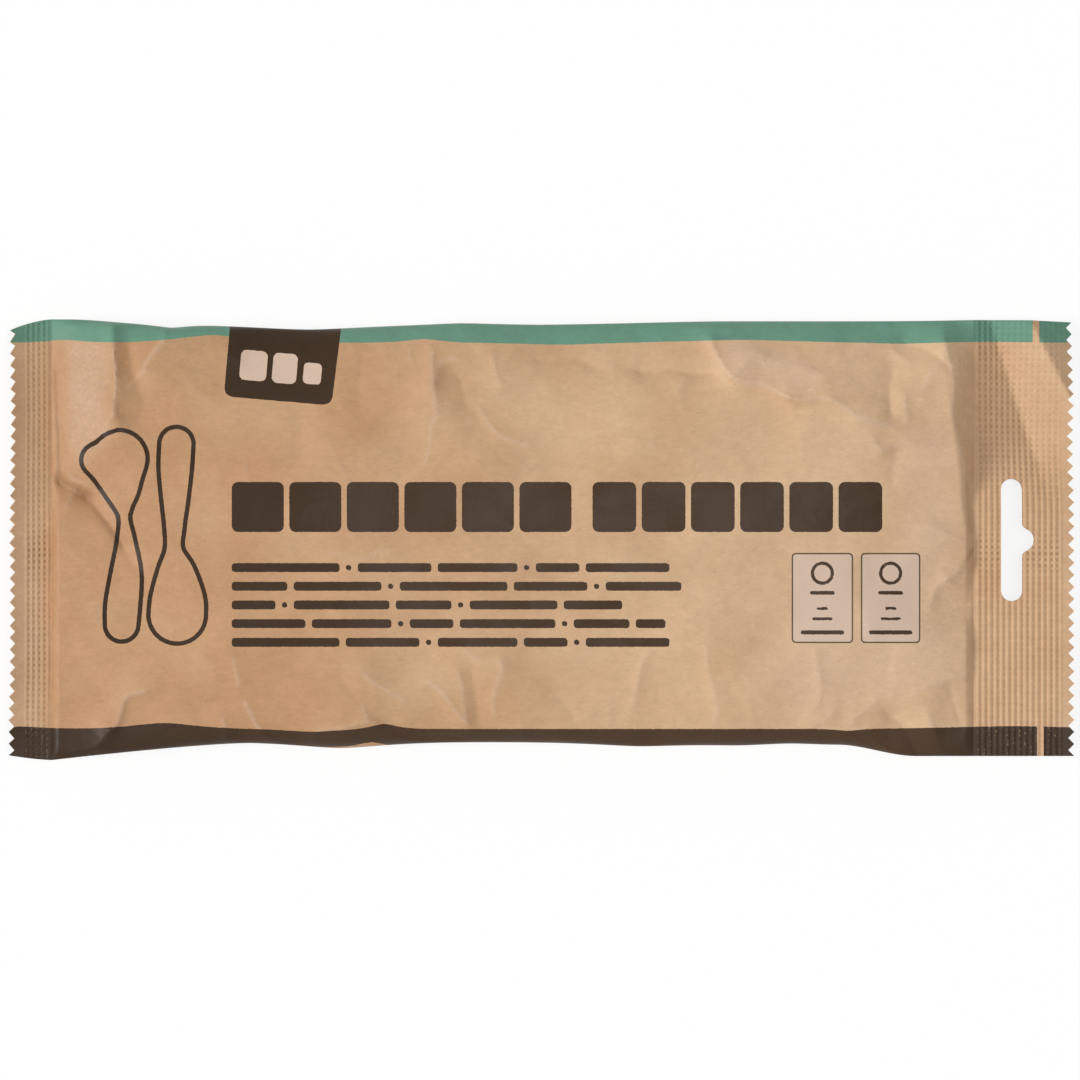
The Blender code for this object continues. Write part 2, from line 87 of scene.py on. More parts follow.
# Front near the left seal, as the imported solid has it: a long slope, and below its upper part also a steep step
STEP_WIDTH = 0.0022
LEFT_STEP = 0.25
LEFT_STEP_TOP = 0.026
LEFT_STEP_FADE = 0.010
LEFT_SLOPE_UPPER = 0.034
LEFT_SLOPE_LOWER = 0.075
SLOPE_POWER = 1.4

# Front near the header: a long slope and a step, which widens to a steep wedge towards the upper fold
RIGHT_STEP = 0.14
RIGHT_SLOPE = 0.060
WEDGE_STEP = 0.25
WEDGE_WIDTH = 0.0063
WEDGE_BOTTOM = 0.003
WEDGE_RUN = 0.045
WEDGE_QUICKNESS = 2.5
WEDGE_POWER = 1.3

# Seam down the back
FIN_WIDTH = 0.012
FIN_THICKNESS = 0.0003
FIN_OFFSET = 0.002
FIN_STEP = 0.0004

# Crimped seals
RIB_PITCH = 0.00148
RIB_START = 0.0004
LEFT_RIBS = 5
RIGHT_RIBS = 15
LEFT_MARGIN = 0.0039
RIGHT_MARGIN = 0.0026
TEETH = 36
LEFT_SEAL = RIB_START + LEFT_RIBS * RIB_PITCH + LEFT_MARGIN
RIGHT_SEAL = RIB_START + RIGHT_RIBS * RIB_PITCH + RIGHT_MARGIN
RIGHT_SEAM = BOX_HIGH.x - RIGHT_SEAL
LEFT_SEAM = RIGHT_SEAM - BODY_LENGTH

# Hang slot
SLOT_LENGTH = 0.0305
SLOT_WIDTH = 0.0053
SLOT_BUMP_RADIUS = 0.0029
SLOT_SHOULDER = 0.0014
SLOT_TO_TIPS = 0.0101

# Curl of the left seal, in degrees, how far its crimp draws it together, and how its corners draw in
LEFT_CURL = 21.0
LEFT_CURL_EXTRA = 5.0
LEFT_CURL_LOST = 17.0
LEFT_CURL_SPREAD = 20.0
LEFT_CURL_PEAK = 0.55
LEFT_CURL_PEAK_REACH = 0.25
LEFT_CURL_LOST_RUN = 0.45
LEFT_DRAWN = 0.928
UPPER_TAPER = 0.0029
LOWER_TAPER = 0.0012
TAPER_POWER = 1.6

# Waves of the header's upper half. It falls from the seam to a valley, rises to a ridge, and droops past that.
# Both lines start this far from the seam at the upper fold and lean outwards below it.
VALLEY_START = 0.0045
VALLEY_LEAN = 0.33
RIDGE_START = 0.0140
RIDGE_LEAN = 0.53
VALLEY_FALL = 0.50
RIDGE_RISE = 0.36
CORNER_FALL = 0.68
WAVE_BOTTOM = 0.006
WAVE_FADE = 0.026
WAVE_ROUND = 0.0008
CORNER_HEIGHT = 0.0550

# Waffle of the crimps: bars across the ribs, this many over a seal's width, whose height is a share of the ribs'.
# Strength scales both, and a narrow band across both seals is pressed harder.
CROSS_BARS = 72
Pressing = namedtuple("Pressing", "bars hard_bars strength hard_strength hard_reach")
LEFT_PRESSING = Pressing(0.72, 0.15, 0.50, 0.50, 0.0040)
HEADER_PRESSING = Pressing(0.20, 0.55, 0.70, 0.45, 0.0034)
HARD_BAND = -0.0034
LEFT_LOWER_BAND = -0.030
LEFT_LOWER_REACH = 0.018
LEFT_LOWER_STRENGTH = 0.20
HEADER_UPPER_BARS = 0.58
PAST_VALLEY_STRENGTH = -0.25
PAST_VALLEY_RUN = 0.003
CREST_POWER = 3

# Mesh density
BODY_ROWS = 396
END_ROWS = 8
END_ZONE = 0.0024
FRONT_COLUMNS = 200
BACK_EDGE_COLUMNS = 4
BACK_EDGE_STEP = 0.0012
BACK_COLUMNS = 8
COLUMN_SAMPLES = 4001
RIB_STEPS = 6
TOOTH_STEPS = 12
SHARP_ANGLE = 50.0

# Print on the back stops this far in from the side folds
WRAP_ROUND = 0.0011
NO_PRINT = -0.001

# The camera looks straight down, and 270 mm of the table fill its width
CAMERA_LENS = 150.0
SENSOR_WIDTH = 36.0
VIEW_WIDTH = 0.270
CAMERA_DISTANCE = VIEW_WIDTH * CAMERA_LENS / SENSOR_WIDTH

# A dent moves a side fold: its place along X, how far it moves the fold towards +Y, and its half length. A swing
# moves it for good: where it starts, over what length, and by how much. All in millimetres.
Dent = namedtuple("Dent", "place amount reach")
Swing = namedtuple("Swing", "start length amount")
UPPER_LEVEL = 55.15
UPPER_DENTS = (
    Dent(-92.0, -0.75, 5.0),
    Dent(-58.0, -1.4, 22.0),
    Dent(-20.0, 0.3, 8.0),
    Dent(0.0, -0.2, 10.0),
    Dent(113.0, 0.4, 14.0),
)
UPPER_SWINGS = (Swing(-118.0, 22.0, -1.15), Swing(8.0, 40.0, 0.65))
LOWER_LEVEL = -50.5
LOWER_DENTS = (
    Dent(-50.0, -1.5, 15.0),
    Dent(25.0, -1.0, 16.0),
    Dent(50.0, -0.7, 14.0),
)
LOWER_SWINGS = (Swing(60.0, 15.0, -0.6), Swing(74.0, 20.0, -2.9))
LOWER_LEFT_DROP = 4.5
LOWER_LEFT_RUN = 50.0
LOWER_LEFT_POWER = 1.25

# A crease runs from one point to another on the front, in millimetres from the middle of the pack. It raises or
# lowers the paper by its height, which fades over one width on the left of its way and another on the right.
# Sharpness 1 gives a crest with a hard edge, and 2 a rounded one.
Crease = namedtuple("Crease", "start end height left right sharpness", defaults=(1.0,))


def crease_rows(*rows):
    """Creases from rows of numbers: both ends' X and Y, the height, both widths and maybe the sharpness."""
    return tuple(Crease(row[:2], row[2:4], *row[4:]) for row in rows)


LEFT_END_CREASES = crease_rows(
    (-107, 53, -104.8, 31, 2, 4, 9),
    (-104.8, 31, -109, 25, 0.8, 6, 5),
    (-101, 46, -98.5, 30, -0.8, 5, 4, 1.2),
    (-93.5, 53, -97, 42.5, 0.9, 6, 2.5),
    (-97, 42.5, -103, 38, 0.3, 4, 3),
    (-121.6, 38, -120.3, 15, -0.5, 1.1, 1.3),
    (-121.5, 15.5, -113, 11, -1.6, 2.4, 3.2),
    (-113, 11, -104.5, -2, -1.1, 3.6, 3),
    (-104.5, -2, -99, -9, -0.4, 3, 3, 1.1),
    (-116.5, 15.5, -112, 14, 0.4, 1.5, 2),
    (-118, 8, -115.5, 13, 0.3, 1.5, 1.5),
    (-99.5, -37, -107.5, -47, 0.9, 1.6, 5),
    (-107.5, -47, -114, -54, 0.5, 1.6, 3),
    (-76.5, -29, -75, -37, 0.35, 5, 3),
    (-86, -40, -74, -41.5, -0.35, 3, 4, 1.1),
    (-73.5, -42, -70, -46.5, 0.45, 3, 3),
    (-57, 31, -61, 18, -0.4, 6, 6, 1.2),
)
MIDDLE_CREASES = crease_rows(
    (-62, -31, -50, -36, -0.3, 5, 4),
    (-50.5, -34.5, -45, -41.5, -0.45, 3.5, 2.5),
    (-45, -41.5, -43.5, -46, 0.4, 2, 4),
    (-43, -32, -33.5, -40, 0.55, 5, 4),
    (-28, -36.5, -18, -44.5, 0.55, 3, 5),
    (-21, -33, -18, -44.5, 0.6, 3.5, 6),
    (-16, -32, -15, -43, -0.6, 5, 4, 1.1),
    (-18, -27, -14, -30.5, 0.35, 2, 2.5),
    (-14, -30.5, -10, -32, 0.25, 2, 2.5),
    (-10, -31, -10.8, -43, 0.35, 3.5, 2),
    (3, -36.5, 8, -45, -0.4, 4, 4),
    (-25.5, 46, -26.5, 40.5, 0.5, 3, 6),
    (-26.5, 40.5, -25, 31, 1, 4.5, 12),
    (-25, 31, -29, 18, 0.4, 5, 10),
    (-21, 45, -26.5, 40, 0.35, 2, 3),
    (-20.5, 40, -19, 33, -0.45, 4.5, 3),
    (-15.5, 32, -3, 22.5, 0.35, 5, 2.5),
    (-24, 20, -16, 27, -0.3, 4, 4),
    (-11, 46, -9.5, 38, 0.3, 2, 2),
    (-44.5, 45, -45, 35, -0.35, 3, 3, 1.1),
    (-33.5, 48.5, -33, 44, 0.3, 1.5, 2.5),
    (-52, -3, -38, -4, 0.25, 4, 5, 1.1),
    (-4, 45, 25, 42.5, -0.5, 5, 3),
    (27.5, -27, 22.5, -36, 0.35, 3, 1.8),
    (22.5, -36, 22, -42, 0.35, 3, 1.8),
    (42, -28, 43.5, -46, 0.35, 3.5, 1.8),
)
RIGHT_END_CREASES = crease_rows(
    (25, 42.5, 46, 40.5, -0.8, 6, 2.5),
    (47.5, 41, 42, 50, 1.2, 3.5, 8),
    (54, 44.5, 70, 42, 0.5, 4, 4),
    (47.5, 41, 54, 44.5, 0.5, 3, 4),
    (47.5, 40.5, 62, 36, 0.9, 7, 1.8),
    (62, 36, 72, 34, 0.9, 8, 2),
    (72, 34, 88, 28, 0.8, 8, 3),
    (36, 39, 33.5, 36, 0.3, 2, 2),
    (87.5, 40, 88, 31.5, -0.7, 4.5, 3.5, 1.1),
    (91.5, 35.5, 92, 30, 0.4, 2, 2),
    (82, 27, 85, 22.5, 0.35, 2, 2),
    (85, 22.5, 92, 24, 0.35, 2, 3),
    (89, 21, 88, 15, -0.35, 3, 3, 1.1),
    (91, 51, 101, 43, -0.6, 3, 2.5),
    (88, 48, 92, 45, 0.35, 2, 2),
    (101.8, 47, 95, 38, 0.4, 5, 3),
    (101.2, 51, 103.2, 33, 0.8, 3, 6),
    (103.2, 33, 106.8, 6, 0.5, 1.6, 5),
    (107.8, -2.5, 102.5, -10.5, 0.7, 2.6, 1.6),
    (102.5, -10.5, 97, -14, 0.5, 2, 3),
    (107.8, -1, 96, 3, 0.4, 3, 3),
    (107.5, -8, 106.5, -20, -0.6, 2, 3, 1.1),
    (107, -33, 93, -38.5, 0.4, 4, 3),
    (103, -37, 105, -45, -0.5, 3.5, 3),
    (84, -40, 76, -46.5, 0.5, 2.5, 4.5),
    (72, -42, 68, -46.5, 0.4, 2, 3),
    (69.5, -27, 68, -41, 0.35, 3, 1.8),
    (88, -44.5, 95.5, -53.5, -0.9, 3, 2.5, 1.1),
    (96, -45, 101, -52, 0.6, 2.5, 3.5),
    (78, -48, 90, -53, 0.5, 2.5, 2.5),
)
BAND_CREASES = crease_rows(
    (-57, -49, -42, -46, 0.45, 1.5, 1.8),
    (-40, -45.5, -20, -50, -0.35, 1.5, 1.5),
    (-79, -45, -77, -51, 0.35, 1.6, 1.6),
    (-70, -47, -66, -51, 0.25, 1.4, 1.6),
)

# Tight folds that lie in their own shade, as creases whose height is the share of that shade
FOLD_SHADES = crease_rows(
    (-121.2, 42, -120, 14, 0.9, 0.6, 0.6, 1.4),
    (-121, 15.5, -113, 11, 1, 1.3, 1.1, 1.4),
    (-113, 11, -105, -1, 0.7, 1.1, 1, 1.4),
    (107.9, -2.5, 104.5, -8, 0.6, 0.8, 0.8, 1.4),
    (107.5, 2, 106.5, 14, 0.5, 0.9, 0.9, 1.4),
)

# Broad facets painted paler as highlights, in millimetres, as creases whose height is the share of that painted
# highlight
PAINTED_HIGHLIGHT_FACETS = crease_rows(
    (-113, 46, -112.5, 28, 0.95, 6, 6.5, 3.5),
    (49, 46, 66, 41, 0.85, 4.5, 5, 3),
    (70, -33, 94, -27, 0.55, 9, 10, 2.5),
    (97, 22, 98, -8, 0.50, 6, 7, 2.5),
)

# Random small creases and slow waves that all such paper has, in millimetres
CRUMPLE_LENGTH = (2.0, 14.0)
CRUMPLE_HEIGHT = (0.02, 0.13)
CRUMPLE_WIDTH = (0.8, 4.0)
CRUMPLE_SHARPNESS = 1.1
CRUMPLE_HALF_SPREAD = 50.0
WAVE_COUNT = 18
WAVE_LENGTH = (12.0, 60.0)
WAVE_HEIGHT = 0.14

# Edges of the printed bands, in millimetres, as a level and dents
GREEN_LEVEL = 49.3
GREEN_DENTS = (
    Dent(-119.0, 0.7, 6.0),
    Dent(-82.0, 1.9, 12.0),
    Dent(-29.0, 0.9, 6.0),
    Dent(5.0, -0.5, 14.0),
    Dent(50.0, 0.7, 18.0),
    Dent(90.0, -0.3, 8.0),
    Dent(112.0, 0.2, 12.0),
)
DARK_LEVEL = -47.2
DARK_DENTS = (
    Dent(-130.0, 0.6, 8.0),
    Dent(-94.0, 1.5, 11.0),
    Dent(-57.0, -0.7, 9.0),
    Dent(-39.0, 1.3, 4.5),
    Dent(77.0, -0.5, 4.0),
    Dent(118.0, 0.7, 22.0),
)
DARK_FOOT = -51.8
DARK_FOOT_RISE = Dent(-42.0, 1.2, 4.5)
GREEN_GAP = 124.0
DARK_GAP = 125.1
GAP_WIDTH = 1.6

FOOT_HALF_LENGTH = 18.0

# Plain marks that stand where the pack has words and signs, in millimetres
Block = namedtuple("Block", "x y width height radius")
TITLE_SPANS = ((-77.1, 7.9), (13.1, 85.6))
TITLE_BLOCKS = 6
TITLE_MIDDLE = 8.25
TITLE_HEIGHT = 12.6
TITLE_GAP = 1.3
TITLE_RADIUS = 1.6
LINE_START = -77.1
LINE_ENDS = (32.4, 35.4, 20.6, 31.4, 32.4)
LINE_TOP = -6.9
LINE_PITCH = 4.67
WORD_HEIGHT = 2.3
WORD_RADIUS = 0.7
WORD_GAP = 1.5
SHORTEST_WORD = 3.0
SHORTEST_REST = 6.0
WORD_LENGTHS = (27.0, 18.5, 20.0, 11.0, 24.0, 14.0, 22.0)
DOT_RADIUS = 0.75
PANELS = (Block(70.6, -14.5, 15.0, 22.2, 0.8), Block(87.65, -14.5, 14.5, 22.2, 0.8))
PANEL_DISC = Block(0.0, 6.2, 5.0, 5.0, 2.5)
RING_HALF = 0.45
FAR_OUTSIDE = -5.0
PANEL_BARS = (
    Block(0.0, 1.3, 6.4, 1.0, 0.5),
    Block(0.0, -2.6, 3.2, 0.8, 0.4),
    Block(0.0, -5.2, 5.4, 0.8, 0.4),
    Block(0.0, -8.6, 11.0, 1.1, 0.5),
)
BADGE_CORNERS = ((-77.3, 56.0), (-79.1, 35.9), (-52.1, 33.6), (-49.3, 56.0))
BADGE_ROUNDING = 2.6
BADGE_MARKS = (
    Block(-71.6, 43.6, 6.8, 7.6, 1.4),
    Block(-63.8, 42.9, 6.2, 7.6, 1.4),
    Block(-56.9, 41.6, 4.6, 5.4, 1.1),
)
BADGE_TILT = -5.0

# Outline of a spoon: the middle and radius of round places along it. The left bowl also has a corner.
SPOONS = (
    ((-105.3, 20.3, 6.9), (-104.4, 13.0, 4.3), (-104.0, 6.5, 1.6), (-103.5, 0.0, 2.3), (-103.5, -8.5, 3.9),
     (-104.3, -16.0, 4.4), (-104.6, -21.2, 4.2)),
    ((-90.7, -18.7, 7.2), (-90.6, -15.0, 6.9), (-90.9, -8.5, 4.9), (-91.5, -2.5, 2.4), (-91.4, 3.5, 2.6),
     (-91.3, 10.0, 3.4), (-91.2, 18.0, 4.2), (-90.9, 24.0, 4.3)),
)
SPOON_STEPS = 12
BOWL_CORNER = ((-105.3, 20.3, 6.9), (-110.6, 20.0, 3.8), (-104.2, 8.0, 1.7))
CORNER_BLEND = 1.2
OUTLINE_HALF = 0.60

# Pale lines along the crests of creases, partly wear and partly painted highlight: their half width in
# millimetres, and the height of crease that shows one in full
CREST_LINE_WIDTH = 0.48
CREST_LINE_HEIGHT = 0.45

# Looks of the paper: where the painted shade in the pits of a crimp and in tight folds starts, how dark and how
# much browner that painted shade is, how pale the paper is at wear and painted highlights, and the heights of the
# fibres and crumples of its bump, in metres
PIT_START = 0.15
PIT_SHADE = 0.76
PIT_SHADE_BROWN = 0.8
WEAR_AND_HIGHLIGHT_SHARE = 0.42
PAPER_ROUGHNESS = 0.50
INK_ROUGHNESS = 0.42
SPECULAR_LEVEL = 0.15
FIBRE_HEIGHT = 0.00002
CRUMPLE_DEPTH = 0.00022

# Edges of the print, in metres: how far they fray, how soft they are, and the half width of the panels' frames
FRAY = 0.00005
INK_EDGE = 0.00006
FRAME_HALF = 0.00016

# Changes along the pack, painted into the colour as light and shade: two places along X, in metres, and the values
# there. The body's make paper and dark ink paler towards the header, as painted sheen. The left seal's make its
# paper paler, as painted light. The header's are taken away, so its paper and dark ink are painted darker, as
# shade.
BODY_PAINTED_SHEEN = (-0.095, 0.105, -0.15, 0.95)
LEFT_SEAL_PAINTED_LIGHT = (-0.126, -0.120, 0.75, 0.0)
HEADER_PAINTED_SHADE = (0.102, 0.111, 0.0, 0.45)
BODY_INK_PAINTED_SHEEN = (-0.125, -0.02, 0.78, 1.30)
HEADER_INK_PAINTED_SHADE = (0.095, 0.112, 0.0, 0.50)

# Noises of the paper: the values that each runs between, its waves per metre and detail, and maybe its roughness
# and how it is stretched along each axis
HUE_CLOUDS = (-0.12, 0.34, 45.0, 3.0)
WEAR_AND_HIGHLIGHT_NOISE = (0.5, 1.0, 900.0, 2.0)
CLOUDS = (0.965, 1.035, 55.0, 3.0)
MOTTLE = (0.95, 1.05, 420.0, 4.0, 0.65, (0.8, 1.2, 1.0))
FIBRES = (0.96, 1.04, 1500.0, 3.0, 0.65, (0.35, 1.0, 1.0))
GRAIN = (0.97, 1.03, 3800.0, 2.0, 0.6)
RAGGED_EDGE = (-FRAY, FRAY, 2600.0, 2.0, 0.6, (0.4, 1.0, 1.0))

# Flecks of the paper and of ink worn off crests: the noise as above, without values, and then the range of that
# noise over which a fleck starts, and its tone before and after
DARK_FLECK_NOISE = (1700.0, 1.0, 0.5, (0.55, 1.0, 1.0))
DARK_FLECK = (0.71, 0.77, 1.0, 0.84)
PALE_FLECK_NOISE = (1500.0, 1.0, 0.5, (0.9, 0.6, 1.0))
PALE_FLECK = (0.70, 0.77, 1.0, 1.10)
WORN_CREST_NOISE = (1600.0, 1.0)
WORN_CREST = (0.58, 0.64)
FIBRE_NOISE = (1500.0, 3.0, 0.65, (0.16, 1.0, 1.0))
CRUMPLE_NOISE = (150.0, 4.0, 0.55)

# Slow bends of the lines of all creases, in millimetres: how far they bend, and over what length
BEND = 0.9
BEND_LENGTH = (9.0, 26.0)
BEND_COUNT = 6


def smooth(value):
    """Smooth step from 0 to 1."""
    value = np.clip(value, 0.0, 1.0)
    return value * value * (3.0 - 2.0 * value)


def bell(distance, reach, power=BELL_POWER):
    """Bell curve with a height of 1: the exponential of minus distance over reach, to a power."""
    return np.exp(-np.abs(distance / reach) ** power)


def ramp(distance, length, power=RAMP_POWER):
    """Share of the full height at a distance from a seal: 1 minus the share still to go, to a power."""
    return 1.0 - np.clip(1.0 - distance / length, 0.0, 1.0) ** power


def soft_min(first, second, blend):
    """Smaller of two values, rounded off where they are less than blend apart."""
    overlap = np.maximum(blend - np.abs(first - second), 0.0)
    return np.minimum(first, second) - overlap ** 2 / (4.0 * blend)


def dented(x, level, dents):
    """Level line plus a bell for each dent. All in millimetres."""
    return level + sum(dent.amount * bell(x - dent.place, dent.reach) for dent in dents)


def fold_line(place, level, dents, swings):
    """Y of a side fold at places along X, in millimetres: a dented level line with a step for each swing."""
    return dented(place, level, dents) + sum(
        swing.amount * smooth((place - swing.start) / swing.length) for swing in swings)


def side_folds(x):
    """Y of the upper and the lower side fold at x."""
    place = x / MM
    upper = fold_line(place, UPPER_LEVEL, UPPER_DENTS, UPPER_SWINGS)
    lower = fold_line(place, LOWER_LEVEL, LOWER_DENTS, LOWER_SWINGS)
    lower -= LOWER_LEFT_DROP * (1.0 - ramp(place - LEFT_SEAM / MM, LOWER_LEFT_RUN, LOWER_LEFT_POWER))
    return upper * MM, lower * MM


def fold_height(x):
    """Height of the side folds at x."""
    risen = ramp(x - LEFT_SEAM, FOLD_RAMP_LEFT) * ramp(RIGHT_SEAM - x, FOLD_RAMP_RIGHT)
    return SEAL_HEIGHT + (SIDE_FOLD_HEIGHT - SEAL_HEIGHT) * risen


def bent(x, y, seed):
    """Places moved by slow sine waves, so that the lines of the creases bend."""
    dice = np.random.default_rng(seed + 1)
    moves = []
    for _ in range(2):
        total = np.zeros(np.broadcast(x, y).shape)
        for _ in range(BEND_COUNT):
            length = dice.uniform(*BEND_LENGTH)
            angle = dice.uniform(0.0, math.pi)
            way = x * math.cos(angle) + y * math.sin(angle)
            total += np.sin(2.0 * math.pi * way / length + dice.uniform(0.0, 2.0 * math.pi))
        moves.append(BEND / math.sqrt(BEND_COUNT) * total)
    return x + moves[0], y + moves[1]


def crease_relief(x, y, creases):
    """Sum of creases, in millimetres at places in millimetres, and the pale lines along their crests, partly wear
    and partly painted highlight. Each crease is the exponential of minus its distance from the line, over the
    width on that side, to the power of its sharpness. Each pale line is a bell across its crest."""
    total = np.zeros(np.broadcast(x, y).shape)
    wear_and_highlight = np.zeros(total.shape)
    for crease in creases:
        run_x = crease.end[0] - crease.start[0]
        run_y = crease.end[1] - crease.start[1]
        run = math.hypot(run_x, run_y)
        along = ((x - crease.start[0]) * run_x + (y - crease.start[1]) * run_y) / run
        side = ((y - crease.start[1]) * run_x - (x - crease.start[0]) * run_y) / run
        past = along - np.clip(along, 0.0, run)
        width = np.where(side > 0.0, crease.left, crease.right)
        end_width = (crease.left + crease.right) / 2.0
        distance = np.hypot(side / width, past / end_width)
        total += crease.height * np.exp(-distance ** crease.sharpness)
        strength = min(1.0, max(0.0, crease.height / CREST_LINE_HEIGHT))
        if strength > 0.0:
            wear_and_highlight = np.maximum(wear_and_highlight, strength * np.exp(-(np.hypot(side, past) / CREST_LINE_WIDTH) ** 2))
    return total, wear_and_highlight


def random_creases(sizes):
    """Short shallow creases at seeded random places and angles, all over the front."""
    dice = np.random.default_rng(sizes.crumple_seed)
    count = sizes.crumple_count
    middle_x = dice.uniform(LEFT_SEAM / MM, RIGHT_SEAM / MM, count)
    middle_y = CRUMPLE_HALF_SPREAD * np.sin(dice.uniform(-math.pi / 2.0, math.pi / 2.0, count))
    angle = dice.uniform(0.0, math.pi, count)
    half = dice.uniform(*CRUMPLE_LENGTH, count) / 2.0
    height = dice.uniform(*CRUMPLE_HEIGHT, count) * dice.choice((-1.0, 1.0), count)
    left = dice.uniform(*CRUMPLE_WIDTH, count)
    right = dice.uniform(*CRUMPLE_WIDTH, count)
    creases = []
    for index in range(count):
        step = (half[index] * math.cos(angle[index]), half[index] * math.sin(angle[index]))
        start = (middle_x[index] - step[0], middle_y[index] - step[1])
        end = (middle_x[index] + step[0], middle_y[index] + step[1])
        creases.append(Crease(start, end, height[index], left[index], right[index], CRUMPLE_SHARPNESS))
    return creases


def slow_waves(x, y, seed):
    """Sum of sine waves across the sheet with random directions and lengths, in millimetres."""
    dice = np.random.default_rng(seed)
    total = np.zeros(np.broadcast(x, y).shape)
    for _ in range(WAVE_COUNT):
        length = dice.uniform(*WAVE_LENGTH)
        angle = dice.uniform(0.0, math.pi)
        start = dice.uniform(0.0, 2.0 * math.pi)
        way = x * math.cos(angle) + y * math.sin(angle)
        total += WAVE_HEIGHT * length / WAVE_LENGTH[1] * np.sin(2.0 * math.pi * way / length + start)
    return total


def front_relief(x, y, sizes):
    """Everything that stands out of the smooth front: listed creases, small random ones and slow waves. Also
    gives the pale marks: lines along the crease crests, partly wear and partly painted highlight, and facets
    painted paler as highlights."""
    place_x, place_y = x / MM, y / MM
    bent_x, bent_y = bent(place_x, place_y, sizes.crumple_seed)
    creases = LEFT_END_CREASES + MIDDLE_CREASES + RIGHT_END_CREASES + BAND_CREASES
    relief, wear_and_highlight = crease_relief(bent_x, bent_y, creases)
    small, small_wear_and_highlight = crease_relief(bent_x, bent_y, random_creases(sizes))
    relief += small + slow_waves(place_x, place_y, sizes.crumple_seed)
    pale, _ = crease_relief(bent_x, bent_y, PAINTED_HIGHLIGHT_FACETS)
    return relief * MM * sizes.crease_depth, np.maximum.reduce((wear_and_highlight, small_wear_and_highlight, pale))


def pleats(along, across):
    """Small pleats across the tube that die away from both seals."""
    near = np.exp(-along / PLEAT_REACH) * np.sin(PLEAT_WAVES * math.pi * across + 1.0)
    far = np.exp(-(BODY_LENGTH - along) / PLEAT_REACH) * np.sin(PLEAT_WAVES * math.pi * across * 0.8 + 2.5)
    return PLEAT_HEIGHT * (near + far)


def filled_from_left(distance, y):
    """How full the front is at a distance from the left seal. Below its upper part it steps up at once, then
    rises slowly. Its upper part rises in one slope."""
    upper = smooth((y - LEFT_STEP_TOP + LEFT_STEP_FADE) / LEFT_STEP_FADE)
    step = LEFT_STEP * (1.0 - upper)
    run = LEFT_SLOPE_LOWER + (LEFT_SLOPE_UPPER - LEFT_SLOPE_LOWER) * upper
    power = SLOPE_POWER + (RAMP_POWER - SLOPE_POWER) * upper
    return step * ramp(distance, STEP_WIDTH) + (1.0 - step) * ramp(distance, run, power)


def filled_from_right(distance, y):
    """How full the front is at a distance from the header. The step at the seal grows to a wedge in its upper
    half."""
    rise = np.clip((y - WEDGE_BOTTOM) / WEDGE_RUN, 0.0, 1.0)
    step = RIGHT_STEP + WEDGE_STEP * smooth(rise * WEDGE_QUICKNESS)
    steep = ramp(distance, STEP_WIDTH + WEDGE_WIDTH * rise, WEDGE_POWER)
    return step * steep + (1.0 - step) * ramp(distance, RIGHT_SLOPE, SLOPE_POWER)


def front_height(x, across, y, sizes):
    """Height of the front: the side folds, plus a crown that is a superellipse across and slopes down to each
    seal, plus its relief, which fades out at the folds and seals. Also gives the pale marks of wear and painted
    highlight."""
    along = x - LEFT_SEAM
    filled = filled_from_left(along, y) * filled_from_right(BODY_LENGTH - along, y)
    crown = np.clip(1.0 - np.abs(across) ** FRONT_ROUNDNESS, 0.0, None) ** (1.0 / FRONT_ROUNDNESS)
    base = fold_height(x)
    soft = np.minimum(1.0, filled / FOLD_OVERLAP) * np.minimum(1.0, crown / FOLD_OVERLAP)
    relief, wear_and_highlight = front_relief(x, y, sizes)
    relief += pleats(along, across)
    height = base + sizes.two_plies / 2.0 + (sizes.filled_height - base) * filled * crown + relief * soft
    return height, wear_and_highlight * soft


def fold_shade(points):
    """Share of shade in tight folds, from 0 to 1."""
    shade, _ = crease_relief(points[..., 0] / MM, points[..., 1] / MM, FOLD_SHADES)
    return np.clip(shade, 0.0, 1.0)


def back_height(x, across, sizes):
    """Height of the back: flat on the table in the middle, rising to the folds and seals."""
    along = x - LEFT_SEAM
    filled = ramp(along, BACK_RAMP) * ramp(BODY_LENGTH - along, BACK_RAMP)
    crown = np.clip(1.0 - np.abs(across) ** BACK_ROUNDNESS, 0.0, None) ** (1.0 / BACK_ROUNDNESS)
    crown = np.minimum(1.0, BACK_FULLNESS * crown)
    top = fold_height(x) - sizes.two_plies / 2.0
    return top + (FIN_THICKNESS - top) * filled * crown


def fin_drop(y):
    """How far the seam stands out of the back at y: its full thickness across its width, with a short step."""
    past = np.abs(y - FIN_OFFSET) - FIN_WIDTH / 2.0
    return FIN_THICKNESS * (1.0 - smooth(past / FIN_STEP))


def front_columns(sizes):
    """Places across the front from 1 at the upper fold to -1, at equal steps along the curved paper."""
    angles = np.linspace(0.0, math.pi, COLUMN_SAMPLES)
    across = np.sign(np.cos(angles)) * np.abs(np.cos(angles)) ** (2.0 / FRONT_ROUNDNESS)
    rise = np.clip(1.0 - np.abs(across) ** FRONT_ROUNDNESS, 0.0, None) ** (1.0 / FRONT_ROUNDNESS)
    step = np.hypot(np.diff(across) * CORNER_HEIGHT, np.diff(rise) * (sizes.filled_height - SIDE_FOLD_HEIGHT))
    length = np.concatenate(((0.0,), np.cumsum(step)))
    return np.interp(np.linspace(0.0, length[-1], FRONT_COLUMNS + 1), length, across)


